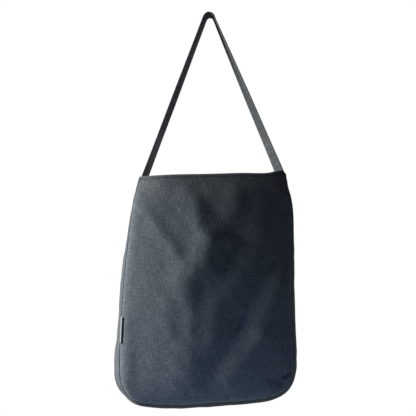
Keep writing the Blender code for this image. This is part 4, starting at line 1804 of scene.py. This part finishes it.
@dataclass
class Studio:
    """A pale floor well below the bag, white surroundings, soft light from the left, and the camera."""

    pivot: Vector = field(default_factory=lambda: Vector((-0.0027, 0.0, -0.3460)))
    azimuth: float = -7.0
    distance: float = 2.2
    lens: float = 105.8
    floor_z: float = -1.45
    floor_radius: float = 1.2
    floor_fade_from: float = 0.35
    floor_colour: Colour = (0.72, 0.73, 0.74)
    floor_roughness: float = 0.9
    fill: Colour = (0.0075, 0.0082, 0.0100)

    def direction(self, azimuth: float, elevation: float) -> Vector:
        """Unit vector towards a place seen at an azimuth and a height, in degrees."""
        a, e = math.radians(azimuth), math.radians(elevation)
        return Vector((math.sin(a) * math.cos(e), -math.cos(a) * math.cos(e), math.sin(e)))

    def add_camera(self) -> None:
        """Put the camera where the photograph was taken from."""
        data = bpy.data.cameras.new("camera")
        data.lens = self.lens
        data.sensor_width = 36.0
        camera = bpy.data.objects.new("camera", data)
        bpy.context.scene.collection.objects.link(camera)
        towards = self.direction(self.azimuth, 0.0)
        camera.location = self.pivot + towards * self.distance
        camera.rotation_euler = (-towards).to_track_quat("-Z", "Y").to_euler()
        bpy.context.scene.camera = camera

    def add_lamp(self, lamp: Lamp) -> None:
        """Put a lamp into the scene, turned to the bag's middle at the height it aims for.

        Args:
            lamp: The lamp.
        """
        data = bpy.data.lights.new(lamp.name, "AREA")
        data.energy = lamp.power
        data.size = lamp.size
        data.color = lamp.colour
        light = bpy.data.objects.new(lamp.name, data)
        bpy.context.scene.collection.objects.link(light)
        towards = self.direction(lamp.azimuth, lamp.elevation)
        light.location = Vector((0.0, 0.0, lamp.aim_z)) + towards * lamp.distance
        light.rotation_euler = (-towards).to_track_quat("-Z", "Y").to_euler()
        light.visible_camera = False

    def add_floor(self) -> None:
        """Lay the floor, a pale disc that fades out towards its edge."""
        mesh = bpy.data.meshes.new("floor")
        work = bmesh.new()
        bmesh.ops.create_circle(work, cap_ends=True, segments=96, radius=self.floor_radius)
        work.to_mesh(mesh)
        work.free()
        material = bpy.data.materials.new("pale_floor")
        material.use_nodes = True
        graph = Graph(material.node_tree)
        shader = material.node_tree.nodes["Principled BSDF"]
        shader.inputs["Base Color"].default_value = (*self.floor_colour, 1.0)
        shader.inputs["Roughness"].default_value = self.floor_roughness
        place = graph.add("ShaderNodeTexCoord").outputs["Object"]
        distance = graph.add("ShaderNodeVectorMath", {0: place}, operation="LENGTH").outputs["Value"]
        fade = graph.between(distance, self.floor_fade_from, self.floor_radius * 0.98, 0.0, 1.0)
        clear = graph.add("ShaderNodeBsdfTransparent")
        surface = graph.add("ShaderNodeMixShader", {0: fade, 1: shader.outputs[0], 2: clear.outputs[0]})
        output = material.node_tree.nodes["Material Output"]
        graph.tree.links.new(surface.outputs[0], output.inputs["Surface"])
        mesh.materials.append(material)
        floor = bpy.data.objects.new("floor", mesh)
        floor.location.z = self.floor_z
        bpy.context.scene.collection.objects.link(floor)

    def set_world(self) -> None:
        """Make the surroundings white to the eye, and a weak cool light on the bag."""
        world = bpy.data.worlds.new("surroundings")
        bpy.context.scene.world = world
        world.use_nodes = True
        graph = Graph(world.node_tree)
        seen = graph.add("ShaderNodeBackground", {"Color": (1.0, 1.0, 1.0, 1.0), "Strength": 1.0})
        fill = world.node_tree.nodes["Background"]
        fill.inputs["Color"].default_value = (*self.fill, 1.0)
        camera_ray = graph.add("ShaderNodeLightPath").outputs["Is Camera Ray"]
        mixed = graph.add("ShaderNodeMixShader", {0: camera_ray, 1: fill.outputs[0], 2: seen.outputs[0]})
        graph.tree.links.new(mixed.outputs[0], world.node_tree.nodes["World Output"].inputs["Surface"])
        bpy.context.scene.view_settings.view_transform = "Standard"

    def build(self) -> None:
        """Build the whole studio."""
        self.add_camera()
        self.add_floor()
        self.set_world()
        for lamp in LAMPS:
            self.add_lamp(lamp)
        log.info("studio: camera %.1f mm, %.2f m away, %d lamps", self.lens, self.distance, len(LAMPS))


def main() -> None:
    """Build the studio and every piece of the bag."""
    logging.basicConfig(level=logging.INFO, format="%(name)s: %(message)s")
    Studio().build()
    form = BagForm()
    groups = Groups()
    canvas = CanvasFinish().material(groups)
    thread = ThreadFinish().material(groups)
    Canvas(form, canvas, thread).build()
    Lining(form, LiningFinish().material(groups)).build()
    Strap(form, WebbingFinish().material(groups)).build()
    Label(form, LabelFinish().material(groups)).build()


if __name__ == "__main__":
    main()
